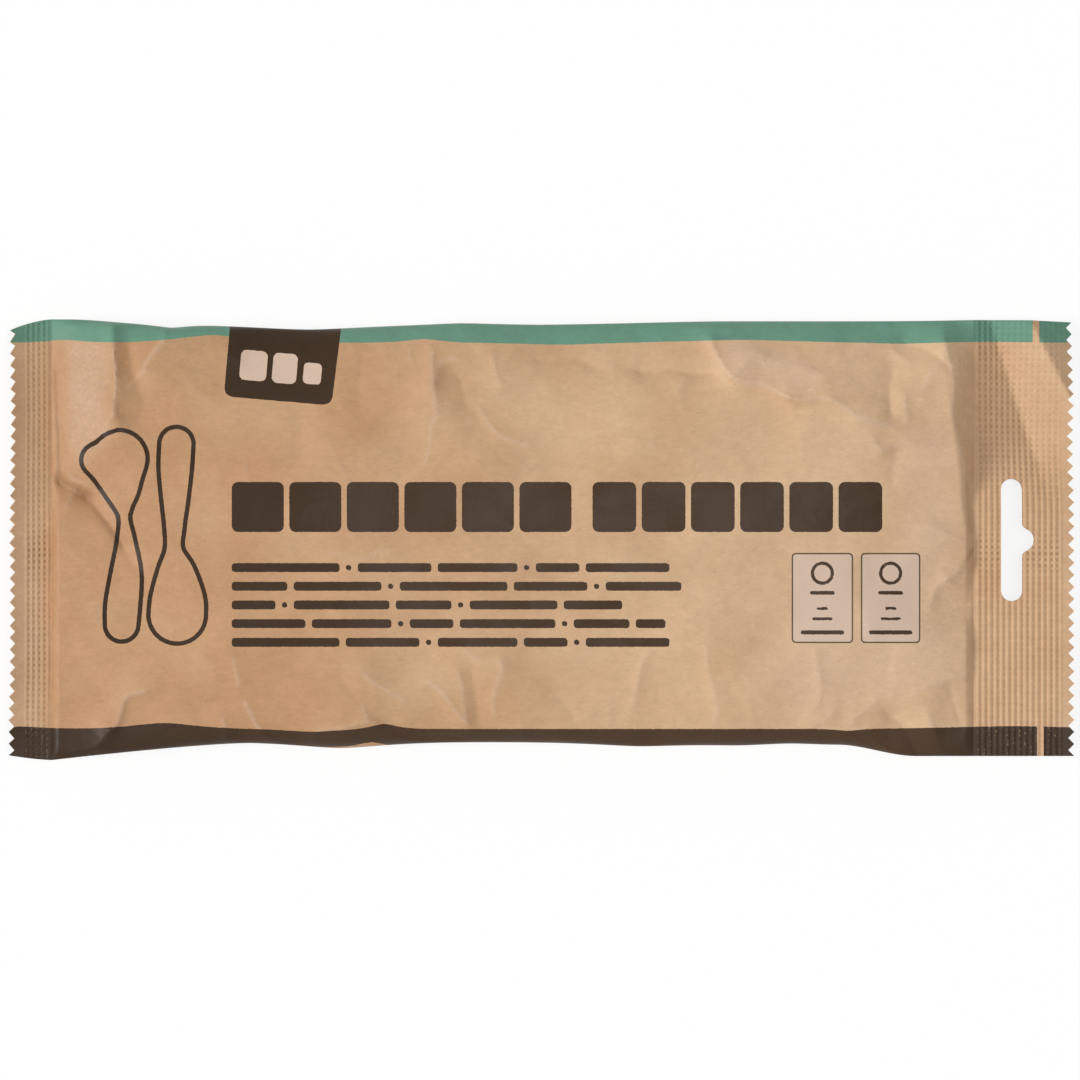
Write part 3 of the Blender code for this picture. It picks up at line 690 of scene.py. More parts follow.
def back_columns(upper, lower):
    """Y of the back's columns from the lower fold to the upper one: a few close to each fold, for the edge of
    the print, and both edges of the seam's step."""
    edge = BACK_EDGE_STEP * np.arange(1, BACK_EDGE_COLUMNS + 1)
    fin_low = FIN_OFFSET - FIN_WIDTH / 2.0
    fin_high = FIN_OFFSET + FIN_WIDTH / 2.0
    low = lower[:, None] + edge
    high = upper[:, None] - edge[::-1]
    share = np.linspace(0.0, 1.0, BACK_COLUMNS + 2)[1:-1]
    fin_columns = np.array((fin_low - FIN_STEP, fin_low, FIN_OFFSET, fin_high, fin_high + FIN_STEP))
    fin = np.broadcast_to(fin_columns, (len(upper), len(fin_columns)))
    below = low[:, -1:] + (fin[:, :1] - low[:, -1:]) * share
    above = fin[:, -1:] + (high[:, :1] - fin[:, -1:]) * share
    return np.concatenate((low, below, fin, above, high), axis=1)


def tube_grid(sizes):
    """Points round the filled tube at every row along it, whether each is on the front, and its share of wear and
    painted highlight. Rows lie closer together next to the seals."""
    rows = np.linspace(LEFT_SEAM + END_ZONE, RIGHT_SEAM - END_ZONE, BODY_ROWS + 1)
    left_end = np.linspace(LEFT_SEAM, LEFT_SEAM + END_ZONE, END_ROWS + 1)[:-1]
    right_end = np.linspace(RIGHT_SEAM - END_ZONE, RIGHT_SEAM, END_ROWS + 1)[1:]
    x = np.concatenate((left_end, rows, right_end))[:, None]
    upper, lower = side_folds(x[:, 0])
    half = ((upper - lower) / 2.0)[:, None]
    middle = ((upper + lower) / 2.0)[:, None]
    across = front_columns(sizes)[None, :]
    front_y = middle + half * across
    front_z, wear_and_highlight = front_height(x, across, front_y, sizes)
    back_y = back_columns(upper, lower)
    back_across = np.clip((back_y - middle) / half, -1.0, 1.0)
    back_z = back_height(x, back_across, sizes) - fin_drop(back_y)
    y = np.concatenate((front_y, back_y), axis=1)
    z = np.concatenate((front_z, back_z), axis=1)
    is_front = np.concatenate((np.ones(front_y.shape, bool), np.zeros(back_y.shape, bool)), axis=1)
    wear_and_highlight = np.concatenate((wear_and_highlight, np.zeros(back_y.shape)), axis=1)
    return np.stack((np.broadcast_to(x, y.shape), y, z), axis=-1), is_front, wear_and_highlight


def tube_faces(rows, columns):
    """Four-cornered faces round a tube of rings, and one face across each end."""
    index = np.arange(rows * columns).reshape(rows, columns)
    after = np.roll(index, -1, axis=1)
    quads = np.stack((index[:-1], after[:-1], after[1:], index[1:]), axis=-1).reshape(-1, 4)
    return quads, (index[0][::-1], index[-1])


def sheet_faces(rows, columns, keep):
    """Faces of a thin closed sheet from two matching grids of points, the front's and then the back's: every kept
    cell on both sides, and a wall on each edge that only one kept cell has."""
    index = np.arange(rows * columns).reshape(rows, columns)
    cells = np.stack((index[:-1, :-1], index[1:, :-1], index[1:, 1:], index[:-1, 1:]), axis=-1)
    front = cells[keep]
    edges = np.concatenate([front[:, (side, (side + 1) % 4)] for side in range(4)])
    low, high = edges.min(axis=1), edges.max(axis=1)
    _, first, count = np.unique(low * rows * columns + high, return_index=True, return_counts=True)
    rim = edges[first[count == 1]]
    behind = rows * columns
    walls = np.column_stack((rim[:, 1], rim[:, 0], rim[:, 0] + behind, rim[:, 1] + behind))
    return np.concatenate((front, front[:, ::-1] + behind, walls))


def slot_distance(x, y):
    """Distance from the edge of the hang slot, negative inside: a long capsule, joined with a rounded shoulder
    to a disc that bulges towards the teeth."""
    side = BOX_HIGH.x - SLOT_TO_TIPS - SLOT_BUMP_RADIUS
    radius = SLOT_WIDTH / 2.0
    past_end = np.maximum(np.abs(y) - (SLOT_LENGTH / 2.0 - radius), 0.0)
    capsule = np.hypot(x - side + radius, past_end) - radius
    bump = np.hypot(x - side, y) - SLOT_BUMP_RADIUS
    return soft_min(capsule, bump, SLOT_SHOULDER)


def cut_slot(x, y, cell):
    """Keeps the cells outside the slot, and draws the points of the cells on its edge onto that edge."""
    distance = slot_distance(x, y)
    outside = distance > 0.35 * cell
    keep = outside[:-1, :-1] | outside[1:, :-1] | outside[1:, 1:] | outside[:-1, 1:]
    rim = np.zeros(x.shape, bool)
    for rows, columns in ((slice(0, -1), slice(0, -1)), (slice(1, None), slice(0, -1)),
                          (slice(1, None), slice(1, None)), (slice(0, -1), slice(1, None))):
        rim[rows, columns] |= keep
    rim &= ~outside
    nudge = cell * 0.01
    for _ in range(3):
        distance = slot_distance(x, y)
        slope_x = (slot_distance(x + nudge, y) - slot_distance(x - nudge, y)) / (2.0 * nudge)
        slope_y = (slot_distance(x, y + nudge) - slot_distance(x, y - nudge)) / (2.0 * nudge)
        x = np.where(rim, x - distance * slope_x, x)
        y = np.where(rim, y - distance * slope_y, y)
    return x, y, keep


def seal_grid(length, margin, sizes):
    """Distances from the seam and shares across the seal. The last rows are drawn back to the zigzag cut, which
    is a triangle wave between its tips."""
    rows = round(length / (RIB_PITCH / RIB_STEPS))
    columns = TEETH * TOOTH_STEPS
    out = np.linspace(0.0, length, rows + 1)[:, None]
    share = np.linspace(0.0, 1.0, columns + 1)[None, :]
    tooth = np.abs((share * TEETH + 0.5) % 1.0 - 0.5) * 2.0
    reach = smooth((out - length + margin) / margin)
    return out - reach * sizes.tooth_depth * tooth, np.broadcast_to(share, (rows + 1, columns + 1))


def rib_window(out, ribs):
    """1 across the crimped part of a seal and 0 outside it."""
    end = RIB_START + ribs * RIB_PITCH
    return smooth((out - RIB_START / 2.0) / RIB_PITCH * 2.0) * smooth((end - out) / RIB_PITCH * 2.0)


def pressed(y, pressing):
    """Height of the bars and strength of the crimp at y."""
    hard = bell(y - HARD_BAND, pressing.hard_reach)
    return pressing.bars + pressing.hard_bars * hard, pressing.strength + pressing.hard_strength * hard


def crimp(out, share, ribs, bars, strength, sizes):
    """Crimp of a seal: ribs along it, joined by bars across them. Bars of height 0 leave plain ribs, and bars of
    height 1 make a waffle of round pits."""
    rib = np.cos(2.0 * math.pi * (out - RIB_START) / RIB_PITCH - math.pi)
    bar = bars * (1.0 + np.cos(2.0 * math.pi * CROSS_BARS * share)) - 1.0
    return sizes.rib_depth / 2.0 * rib_window(out, ribs) * strength * np.maximum(rib, bar)


def crimp_values(ribs, sizes):
    """How near each point of a crimp is to a crest, and how deep in a pit, both from 0 to 1."""
    level = ribs / sizes.rib_depth * 2.0
    return np.clip(level, 0.0, 1.0) ** CREST_POWER, np.clip(-level, 0.0, 1.0)


def header_lines(y):
    """How far the valley and the ridge of the header's upper half lie from the seam at y."""
    below = CORNER_HEIGHT - y
    return VALLEY_START + VALLEY_LEAN * below, RIDGE_START + RIDGE_LEAN * below


def header_wave(out, y):
    """The header falls to its valley, rises to its ridge and droops at its corner, all in its upper half."""
    valley, ridge = header_lines(y)
    past_valley = -soft_min(valley - out, np.zeros_like(out), WAVE_ROUND)
    past_ridge = -soft_min(ridge - out, np.zeros_like(out), WAVE_ROUND)
    wave = -VALLEY_FALL * out + (VALLEY_FALL + RIDGE_RISE) * past_valley
    wave -= (RIDGE_RISE + CORNER_FALL) * past_ridge
    return wave * smooth((y - WAVE_BOTTOM) / WAVE_FADE)


def curled(out, y, depth):
    """Places of points on the left seal, rolled up along an arc: X, and Z. The mean angle is greatest above the
    middle and least at the lower corner."""
    height = y / CORNER_HEIGHT
    extra = LEFT_CURL_EXTRA * bell(height - LEFT_CURL_PEAK, LEFT_CURL_PEAK_REACH)
    lost = LEFT_CURL_LOST * smooth((-LEFT_CURL_PEAK - height) / LEFT_CURL_LOST_RUN)
    mean = LEFT_CURL + extra - lost
    spread = math.radians(LEFT_CURL_SPREAD) / LEFT_SEAL
    start = np.radians(mean) - spread * LEFT_SEAL / 2.0
    chord = out * np.sinc(spread * out / 2.0 / math.pi)
    middle_angle = start + spread * out / 2.0
    angle = start + spread * out
    x = LEFT_SEAM - chord * np.cos(middle_angle) * LEFT_DRAWN + depth * np.sin(angle)
    z = SEAL_HEIGHT + chord * np.sin(middle_angle) + depth * np.cos(angle)
    return x, z


def rounded_box(x, y, block):
    """Distance inside a rounded rectangle, negative outside it."""
    from_x = np.abs(x - block.x) - block.width / 2.0 + block.radius
    from_y = np.abs(y - block.y) - block.height / 2.0 + block.radius
    outer = np.hypot(np.maximum(from_x, 0.0), np.maximum(from_y, 0.0))
    return block.radius - outer - np.minimum(np.maximum(from_x, from_y), 0.0)


def title_blocks():
    """Rows of equal blocks that fill the title's two spans."""
    for start, end in TITLE_SPANS:
        pitch = (end - start + TITLE_GAP) / TITLE_BLOCKS
        for index in range(TITLE_BLOCKS):
            middle = start + pitch * index + (pitch - TITLE_GAP) / 2.0
            yield Block(middle, TITLE_MIDDLE, pitch - TITLE_GAP, TITLE_HEIGHT, TITLE_RADIUS)


def word_blocks():
    """Bars for the words of each small line, with a round dot after every second one."""
    turn = 0
    for line, end in enumerate(LINE_ENDS):
        x = LINE_START
        y = LINE_TOP - LINE_PITCH * line
        while x < end - SHORTEST_WORD:
            length = min(WORD_LENGTHS[turn % len(WORD_LENGTHS)], end - x)
            if end - x - length < SHORTEST_REST:
                length = end - x
            yield Block(x + length / 2.0, y, length, WORD_HEIGHT, WORD_RADIUS)
            x += length + WORD_GAP
            turn += 1
            if turn % 2 and x < end - SHORTEST_WORD:
                yield Block(x + DOT_RADIUS, y, 2.0 * DOT_RADIUS, 2.0 * DOT_RADIUS, DOT_RADIUS)
                x += 2.0 * DOT_RADIUS + WORD_GAP


def badge_inside(x, y):
    """Distance inside the badge: the least distance from its edges, rounded off at its corners. It runs over the
    upper fold, so it has no upper edge."""
    inside = None
    for start, end in zip(BADGE_CORNERS, BADGE_CORNERS[1:]):
        run = math.hypot(end[0] - start[0], end[1] - start[1])
        edge = ((end[0] - start[0]) * (y - start[1]) - (end[1] - start[1]) * (x - start[0])) / run
        inside = edge if inside is None else soft_min(inside, edge, BADGE_ROUNDING)
    return inside


def spoon_distance(x, y, spoon):
    """Distance from a spoon's outline, negative inside: the nearest of many discs. Their middles and radii follow
    a smooth curve through the given places, a cubic between each two whose slope at a place is that between its
    neighbours."""
    places = np.array((spoon[0],) + spoon + (spoon[-1],))
    distance = np.full(x.shape, np.inf)
    for before, start, end, after in zip(places, places[1:], places[2:], places[3:]):
        for t in np.linspace(0.0, 1.0, SPOON_STEPS + 1):
            first_slope, last_slope = (end - before) / 2.0, (after - start) / 2.0
            bend = 2.0 * (start - end) + first_slope + last_slope
            place = start + t * (first_slope + t * (end - start - first_slope - bend + t * bend))
            distance = np.minimum(distance, np.hypot(x - place[0], y - place[1]) - place[2])
    return distance


def limb_distance(x, y, start, end):
    """Distance from a limb with round ends and straight sides, negative inside."""
    run_x, run_y = end[0] - start[0], end[1] - start[1]
    share = ((x - start[0]) * run_x + (y - start[1]) * run_y) / (run_x ** 2 + run_y ** 2)
    share = np.clip(share, 0.0, 1.0)
    radius = start[2] + (end[2] - start[2]) * share
    return np.hypot(x - start[0] - share * run_x, y - start[1] - share * run_y) - radius


def outline_distance(x, y):
    """Distance from the nearer of the two spoons' outlines."""
    left = spoon_distance(x, y, SPOONS[0])
    for start, end in zip(BOWL_CORNER, BOWL_CORNER[1:]):
        left = soft_min(left, limb_distance(x, y, start, end), CORNER_BLEND)
    return np.minimum(np.abs(left), np.abs(spoon_distance(x, y, SPOONS[1])))


def as_seen(points):
    """Places of points in millimetres, brought down along the camera's line of sight to the height of the seals,
    because that is where the places of the print were measured."""
    scale = 1.0 - (points[..., 2] - SEAL_HEIGHT) / CAMERA_DISTANCE
    return points[..., 0] / scale / MM, points[..., 1] / scale / MM


def print_on_front(points):
    """Distances inside each print, in metres, for points on the front."""
    x, y = as_seen(points)
    green = np.minimum(y - dented(x, GREEN_LEVEL, GREEN_DENTS), np.abs(x - GREEN_GAP) - GAP_WIDTH / 2.0)
    dark = np.minimum(dented(x, DARK_LEVEL, DARK_DENTS) - y, np.abs(x - DARK_GAP) - GAP_WIDTH / 2.0)
    foot = DARK_FOOT + DARK_FOOT_RISE.amount * bell(x - DARK_FOOT_RISE.place, DARK_FOOT_RISE.reach)
    near_foot = np.abs(x - DARK_FOOT_RISE.place) < FOOT_HALF_LENGTH
    dark = np.where(near_foot, np.minimum(dark, y - foot), dark)
    ink = np.full(x.shape, FAR_OUTSIDE)
    for block in list(title_blocks()) + list(word_blocks()):
        ink = np.maximum(ink, rounded_box(x, y, block))
    panel = np.full(x.shape, FAR_OUTSIDE)
    for place in PANELS:
        panel = np.maximum(panel, rounded_box(x, y, place))
        disc = rounded_box(x - place.x, y - place.y, PANEL_DISC)
        ink = np.maximum(ink, RING_HALF - np.abs(disc))
        for bar in PANEL_BARS:
            ink = np.maximum(ink, rounded_box(x - place.x, y - place.y, bar))
    badge = badge_inside(x, y)
    ink = np.maximum(ink, badge)
    glyph = np.full(x.shape, FAR_OUTSIDE)
    tilt = math.radians(BADGE_TILT)
    for block in BADGE_MARKS:
        turned_x = (x - block.x) * math.cos(tilt) + (y - block.y) * math.sin(tilt)
        turned_y = (y - block.y) * math.cos(tilt) - (x - block.x) * math.sin(tilt)
        glyph = np.maximum(glyph, rounded_box(turned_x, turned_y, block._replace(x=0.0, y=0.0)))
    limit = WRAP_ROUND / MM
    prints = {
        "green_inside": np.minimum(green, limit),
        "dark_inside": np.minimum(dark, limit),
        "ink_inside": np.minimum(ink, limit),
        "glyph_inside": glyph,
        "panel_inside": panel,
        "outline_inside": OUTLINE_HALF - outline_distance(x, y),
    }
    return {name: values * MM for name, values in prints.items()}


def print_on_back(points):
    """Distances inside each print for points on the back, where only the two bands reach round the folds."""
    upper, lower = side_folds(points[..., 0])
    prints = {
        "green_inside": WRAP_ROUND - (upper - points[..., 1]),
        "dark_inside": WRAP_ROUND - (points[..., 1] - lower),
    }
    for name in ("ink_inside", "glyph_inside", "panel_inside", "outline_inside"):
        prints[name] = np.full(points.shape[:-1], NO_PRINT)
    return prints


def make_piece(name, points, quads, ends, values):
    """Mesh object from points, four-cornered faces, end faces and one number at each point for each name. Points
    that no face uses are dropped."""
    used, quads = np.unique(quads, return_inverse=True)
    quads = quads.reshape(-1, 4)
    faces = quads.tolist()
    for end in ends:
        faces.append(np.searchsorted(used, end).tolist())
    mesh = bpy.data.meshes.new(name)
    mesh.from_pydata(points[used].tolist(), [], faces)
    for key, numbers in values.items():
        attribute = mesh.attributes.new(key, "FLOAT", "POINT")
        attribute.data.foreach_set("value", numbers[used].astype(np.float32))
    mesh.validate()
    mesh.shade_smooth()
    mesh.set_sharp_from_angle(angle=math.radians(SHARP_ANGLE))
    piece = bpy.data.objects.new(name, mesh)
    bpy.context.scene.collection.objects.link(piece)
    mesh.materials.append(kraft_paper())
    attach(piece, "root")
    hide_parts("paper_pack")


class PaperNodes:
    """Builds a material's nodes one after another. Each method adds one node and returns its result."""

    def __init__(self, name):
        self.material = bpy.data.materials.new(name)
        self.material.use_nodes = True
        self.tree = self.material.node_tree
        self.shader = self.tree.nodes["Principled BSDF"]
        self.place = self.add("ShaderNodeTexCoord").outputs["Object"]

    def add(self, kind, **settings):
        """New node with its settings."""
        node = self.tree.nodes.new(kind)
        for key, value in settings.items():
            setattr(node, key, value)
        return node

    def feed(self, socket, value):
        """Links a result to a socket, or sets the socket's own value."""
        if isinstance(value, bpy.types.NodeSocket):
            self.tree.links.new(value, socket)
        elif isinstance(value, tuple):
            socket.default_value = value[:len(socket.default_value)]
        else:
            socket.default_value = value

    def attribute(self, name):
        """Number held at the points of the mesh."""
        return self.add("ShaderNodeAttribute", attribute_name=name).outputs["Fac"]

    def stretched(self, scale):
        """Place on the piece, scaled along each axis."""
        node = self.add("ShaderNodeMapping")
        self.feed(node.inputs["Vector"], self.place)
        node.inputs["Scale"].default_value = scale
        return node.outputs["Vector"]

    def along(self):
        """Place along the pack, in metres."""
        node = self.add("ShaderNodeSeparateXYZ")
        self.feed(node.inputs["Vector"], self.place)
        return node.outputs["X"]

    def noise(self, scale, detail=2.0, roughness=0.5, grain=(1.0, 1.0, 1.0)):
        """Soft noise from 0 to 1. Scale is in waves per metre, and grain stretches it."""
        node = self.add("ShaderNodeTexNoise")
        self.feed(node.inputs["Vector"], self.stretched(grain))
        node.inputs["Scale"].default_value = scale
        node.inputs["Detail"].default_value = detail
        node.inputs["Roughness"].default_value = roughness
        return node.outputs["Fac"]

    def math(self, operation, first, second=0.0):
        """Sum, product or other result of two numbers."""
        node = self.add("ShaderNodeMath", operation=operation)
        self.feed(node.inputs[0], first)
        self.feed(node.inputs[1], second)
        return node.outputs["Value"]

    def spread(self, value, low, high, to_low=0.0, to_high=1.0):
        """Value taken from one range to another, and held inside it."""
        node = self.add("ShaderNodeMapRange", clamp=True)
        self.feed(node.inputs["Value"], value)
        node.inputs["From Min"].default_value = low
        node.inputs["From Max"].default_value = high
        node.inputs["To Min"].default_value = to_low
        node.inputs["To Max"].default_value = to_high
        return node.outputs["Result"]

    def varied(self, low, high, *noise):
        """Noise with its middle range spread from one value to another."""
        return self.spread(self.noise(*noise), 0.3, 0.7, low, high)

    def product(self, first, *others):
        """Product of numbers."""
        for other in others:
            first = self.math("MULTIPLY", first, other)
        return first

    def most(self, first, *others):
        """Greatest of numbers."""
        for other in others:
            first = self.math("MAXIMUM", first, other)
        return first

    def mix(self, share, first, second):
        """Mix of two colours."""
        node = self.add("ShaderNodeMix", data_type="RGBA")
        self.feed(node.inputs[0], share)
        self.feed(node.inputs[6], first)
        self.feed(node.inputs[7], second)
        return node.outputs[2]

    def shaded(self, colour, tone):
        """Colour times a number."""
        node = self.add("ShaderNodeVectorMath", operation="SCALE")
        self.feed(node.inputs[0], colour)
        self.feed(node.inputs["Scale"], tone)
        return node.outputs["Vector"]


def bare_paper(nodes, colours, tone, pit):
    """Colour of the bare paper. A painted sheen makes it paler from the left end towards the header. It is painted
    paler on the left seal as light, and browner on the header and in pits and tight folds as shade. It is paler on
    facets painted as highlights, and along crease crests, partly as wear and partly as painted highlight."""
    along = nodes.along()
    left_seal = nodes.spread(along, *LEFT_SEAL_PAINTED_LIGHT)
    header = nodes.spread(along, *HEADER_PAINTED_SHADE)
    body = nodes.spread(along, *BODY_PAINTED_SHEEN)
    # Painted light and shade: sheen along the body, light on the left seal, shade on the header and in pits
    paleness_and_painted_light = nodes.math("ADD", body, nodes.math("SUBTRACT", left_seal, header))
    paleness_and_painted_light = nodes.math("ADD", paleness_and_painted_light, nodes.varied(*HUE_CLOUDS))
    paleness_and_painted_light = nodes.math("SUBTRACT", paleness_and_painted_light, nodes.spread(pit, PIT_START, 1.0, 0.0, PIT_SHADE_BROWN))
    plain = nodes.mix(paleness_and_painted_light, tuple(colours.kraft), tuple(colours.kraft_pale))
    # Paler at painted highlights on facets and at crease crests, which are partly wear and partly painted
    # highlight
    wear_and_highlight_share = nodes.product(nodes.attribute("crease_wear_and_highlight"), nodes.varied(*WEAR_AND_HIGHLIGHT_NOISE), WEAR_AND_HIGHLIGHT_SHARE)
    plain = nodes.mix(wear_and_highlight_share, plain, tuple(colours.panel))
    clouds = nodes.varied(*CLOUDS)
    dark_fleck = nodes.spread(nodes.noise(*DARK_FLECK_NOISE), *DARK_FLECK)
    pale_fleck = nodes.spread(nodes.noise(*PALE_FLECK_NOISE), *PALE_FLECK)
    return nodes.shaded(plain, nodes.product(clouds, tone, dark_fleck, pale_fleck))


def kraft_paper():
    """Brown kraft paper with its prints: mottled fibres, flecks, four inks, and a bump of fibres and fine
    creases. Light and shade are painted into its colour: shade in pits and tight folds and on the header, a sheen
    along the pack, and highlights on facets and crease crests."""
    existing = bpy.data.materials.get("inked_kraft")
    if existing:
        return existing
    colours = bpy.context.scene.pack_colours
    nodes = PaperNodes("inked_kraft")
    # Painted shade in the pits of a crimp and in tight folds: darker here, and browner in bare_paper
    pit = nodes.attribute("pit_and_fold_shade")
    pit_shade = nodes.spread(pit, PIT_START, 1.0, 1.0, PIT_SHADE)
    mottle = nodes.varied(*MOTTLE)
    fibres = nodes.varied(*FIBRES)
    grain = nodes.varied(*GRAIN)
    mottle_and_pit_shade = nodes.product(fibres, mottle, pit_shade)
    paper = bare_paper(nodes, colours, nodes.product(mottle_and_pit_shade, grain), pit)

    ragged = nodes.varied(*RAGGED_EDGE)

    def printed(name):
        """1 where a print lies and 0 outside it, with an edge that frays a little along the fibres."""
        return nodes.spread(nodes.math("ADD", nodes.attribute(name), ragged), 0.0, INK_EDGE)

    wear_and_highlight = nodes.product(nodes.attribute("crimp_crest"), nodes.spread(nodes.noise(*WORN_CREST_NOISE), *WORN_CREST))
    green = printed("green_inside")
    dark = nodes.product(printed("dark_inside"), nodes.math("SUBTRACT", 1.0, wear_and_highlight))
    panel_place = nodes.attribute("panel_inside")
    panel = nodes.spread(panel_place, 0.0, INK_EDGE)
    frame_line = nodes.spread(nodes.math("ABSOLUTE", panel_place), FRAME_HALF, FRAME_HALF + INK_EDGE, 0.9, 0.0)
    glyph = printed("glyph_inside")
    blocks = nodes.most(printed("ink_inside"), printed("outline_inside"))
    ink = nodes.most(nodes.product(blocks, nodes.math("SUBTRACT", 1.0, glyph)), frame_line)

    # Dark inks painted paler towards the header as sheen, and darker on the header as shade
    along = nodes.along()
    header_painted_ink_shade = nodes.spread(along, *HEADER_INK_PAINTED_SHADE)
    painted_ink_sheen = nodes.math("SUBTRACT", nodes.spread(along, *BODY_INK_PAINTED_SHEEN), header_painted_ink_shade)
    ink_mottle_and_painted_light = nodes.product(mottle_and_pit_shade, painted_ink_sheen)
    pale = nodes.shaded(tuple(colours.panel), grain)
    colour = nodes.mix(green, paper, nodes.shaded(tuple(colours.green), mottle_and_pit_shade))
    colour = nodes.mix(dark, colour, nodes.shaded(tuple(colours.dark), ink_mottle_and_painted_light))
    colour = nodes.mix(nodes.most(panel, glyph), colour, pale)
    colour = nodes.mix(ink, colour, nodes.shaded(tuple(colours.ink), ink_mottle_and_painted_light))
    nodes.feed(nodes.shader.inputs["Base Color"], colour)

    inked = nodes.most(dark, ink, nodes.product(green, 0.6))
    nodes.feed(nodes.shader.inputs["Roughness"], nodes.spread(inked, 0.0, 1.0, PAPER_ROUGHNESS, INK_ROUGHNESS))
    nodes.shader.inputs["Specular IOR Level"].default_value = SPECULAR_LEVEL

    fibre_height = nodes.product(nodes.noise(*FIBRE_NOISE), FIBRE_HEIGHT)
    ridge = nodes.math("ABSOLUTE", nodes.math("SUBTRACT", nodes.noise(*CRUMPLE_NOISE), 0.5))
    bump = nodes.add("ShaderNodeBump")
    bump.inputs["Strength"].default_value = 1.0
    bump.inputs["Distance"].default_value = 1.0
    nodes.feed(bump.inputs["Height"], nodes.math("ADD", fibre_height, nodes.product(ridge, -CRUMPLE_DEPTH)))
    nodes.feed(nodes.shader.inputs["Normal"], bump.outputs["Normal"])
    return nodes.material


class PackSizes(PropertyGroup):
    """Sizes of the wrap that a user would change."""

    filled_height: FloatProperty(
        name="Filled height", description="Height of the crown of the front above the table",
        default=0.018, min=0.010, max=0.030, unit="LENGTH")
    two_plies: FloatProperty(
        name="Two plies", description="Thickness of the two plies of paper at the seals",
        default=0.0004, min=0.0001, max=0.001, unit="LENGTH")
    rib_depth: FloatProperty(
        name="Crimp depth", description="Height of the crimp of the seals from valley to crest",
        default=0.0004, min=0.0, max=0.001, unit="LENGTH")
    tooth_depth: FloatProperty(
        name="Tooth depth", description="Depth of the zigzag cut at both ends",
        default=0.0015, min=0.0, max=0.002, unit="LENGTH")
    crease_depth: FloatProperty(
        name="Crease depth", description="Strength of all creases and waves of the front",
        default=1.6, min=0.0, max=3.0, subtype="FACTOR")
    crumple_count: IntProperty(
        name="Small creases", description="Number of small random creases on the front",
        default=240, min=0, max=600)
    crumple_seed: IntProperty(
        name="Seed", description="Seed of the small random creases and slow waves", default=7, min=0)


def colour_property(name, description, colour):
    """Colour of a print or paper, as linear red, green and blue with full cover."""
    return FloatVectorProperty(
        name=name, description=description, default=(*colour, 1.0), size=4, min=0.0, max=1.0, subtype="COLOR")


class PackColours(PropertyGroup):
    """Colours of the paper and its inks."""

    # Kraft to pale kraft runs along the pack as painted sheen, and in random clouds. Panel is also painted over
    # the paper at wear and painted highlights.
    kraft: colour_property("Kraft", "Bare paper at the left end", (0.507, 0.288, 0.152))
    kraft_pale: colour_property("Pale kraft", "Bare paper by the header", (0.665, 0.449, 0.275))
    green: colour_property("Green", "Band along the upper fold", (0.140, 0.290, 0.206))
    dark: colour_property("Dark brown", "Band along the lower fold", (0.054, 0.030, 0.016))
    ink: colour_property("Ink", "Badge, blocks and outlines", (0.038, 0.020, 0.009))
    panel: colour_property("Panel", "Pale panels and marks", (0.655, 0.490, 0.380))


class StageSettings(PropertyGroup):
    """Light and floor."""

    key_share: FloatProperty(
        name="Key share", description="Share of the light on a level surface that comes from the key lamp",
        default=0.40, min=0.0, max=1.0, subtype="FACTOR")
    key_tilt: FloatProperty(
        name="Key tilt", description="Angle of the key lamp from straight above",
        default=math.radians(52.0), min=0.0, max=math.radians(80.0), subtype="ANGLE")
    key_turn: FloatProperty(
        name="Key turn", description="Direction of the key lamp round the pack, from +X",
        default=math.radians(184.0), subtype="ANGLE")
    key_distance: FloatProperty(
        name="Key distance", description="Distance of the key lamp from the pack",
        default=8.0, min=0.5, max=20.0, unit="LENGTH")
    key_size: FloatProperty(
        name="Key size", description="Side of the square key lamp",
        default=2.0, min=0.05, max=3.0, unit="LENGTH")
    fill_share: FloatProperty(
        name="Fill share", description="Share of the light on a level surface that comes from the fill lamp",
        default=0.30, min=0.0, max=1.0, subtype="FACTOR")
    fill_tilt: FloatProperty(
        name="Fill tilt", description="Angle of the fill lamp from straight above, towards the header",
        default=math.radians(9.0), min=0.0, max=math.radians(80.0), subtype="ANGLE")
    fill_distance: FloatProperty(
        name="Fill distance", description="Distance of the fill lamp from the pack",
        default=1.6, min=0.3, max=10.0, unit="LENGTH")
    fill_size: FloatProperty(
        name="Fill size", description="Side of the square fill lamp",
        default=0.50, min=0.05, max=3.0, unit="LENGTH")
    floor_size: FloatProperty(
        name="Floor size", description="Side of the square floor",
        default=8.0, min=1.0, max=50.0, unit="LENGTH")
    floor_glow: FloatProperty(
        name="Floor glow", description="Share of the floor's white that the camera sees without any light on it",
        default=0.85, min=0.0, max=1.0, subtype="FACTOR")


class PACK_OT_wrap_body(Operator):
    """Build the filled body of the wrap"""

    bl_idname = "spoon_pack.wrap_body"
    bl_label = "Wrap body"

    def execute(self, context):
        points, is_front, wear_and_highlight = tube_grid(context.scene.pack_sizes)
        rows, columns = points.shape[:2]
        quads, ends = tube_faces(rows, columns)
        front = print_on_front(points)
        back = print_on_back(points)
        values = {name: np.where(is_front, front[name], back[name]).ravel() for name in front}
        values["crimp_crest"] = np.zeros(rows * columns)
        # Painted shade of tight folds, held with the painted shade of the crimps' pits
        values["pit_and_fold_shade"] = fold_shade(points).ravel() * is_front.ravel()
        values["crease_wear_and_highlight"] = wear_and_highlight.ravel()
        make_piece("wrap_body", points.reshape(-1, 3), quads, ends, values)
        return {"FINISHED"}


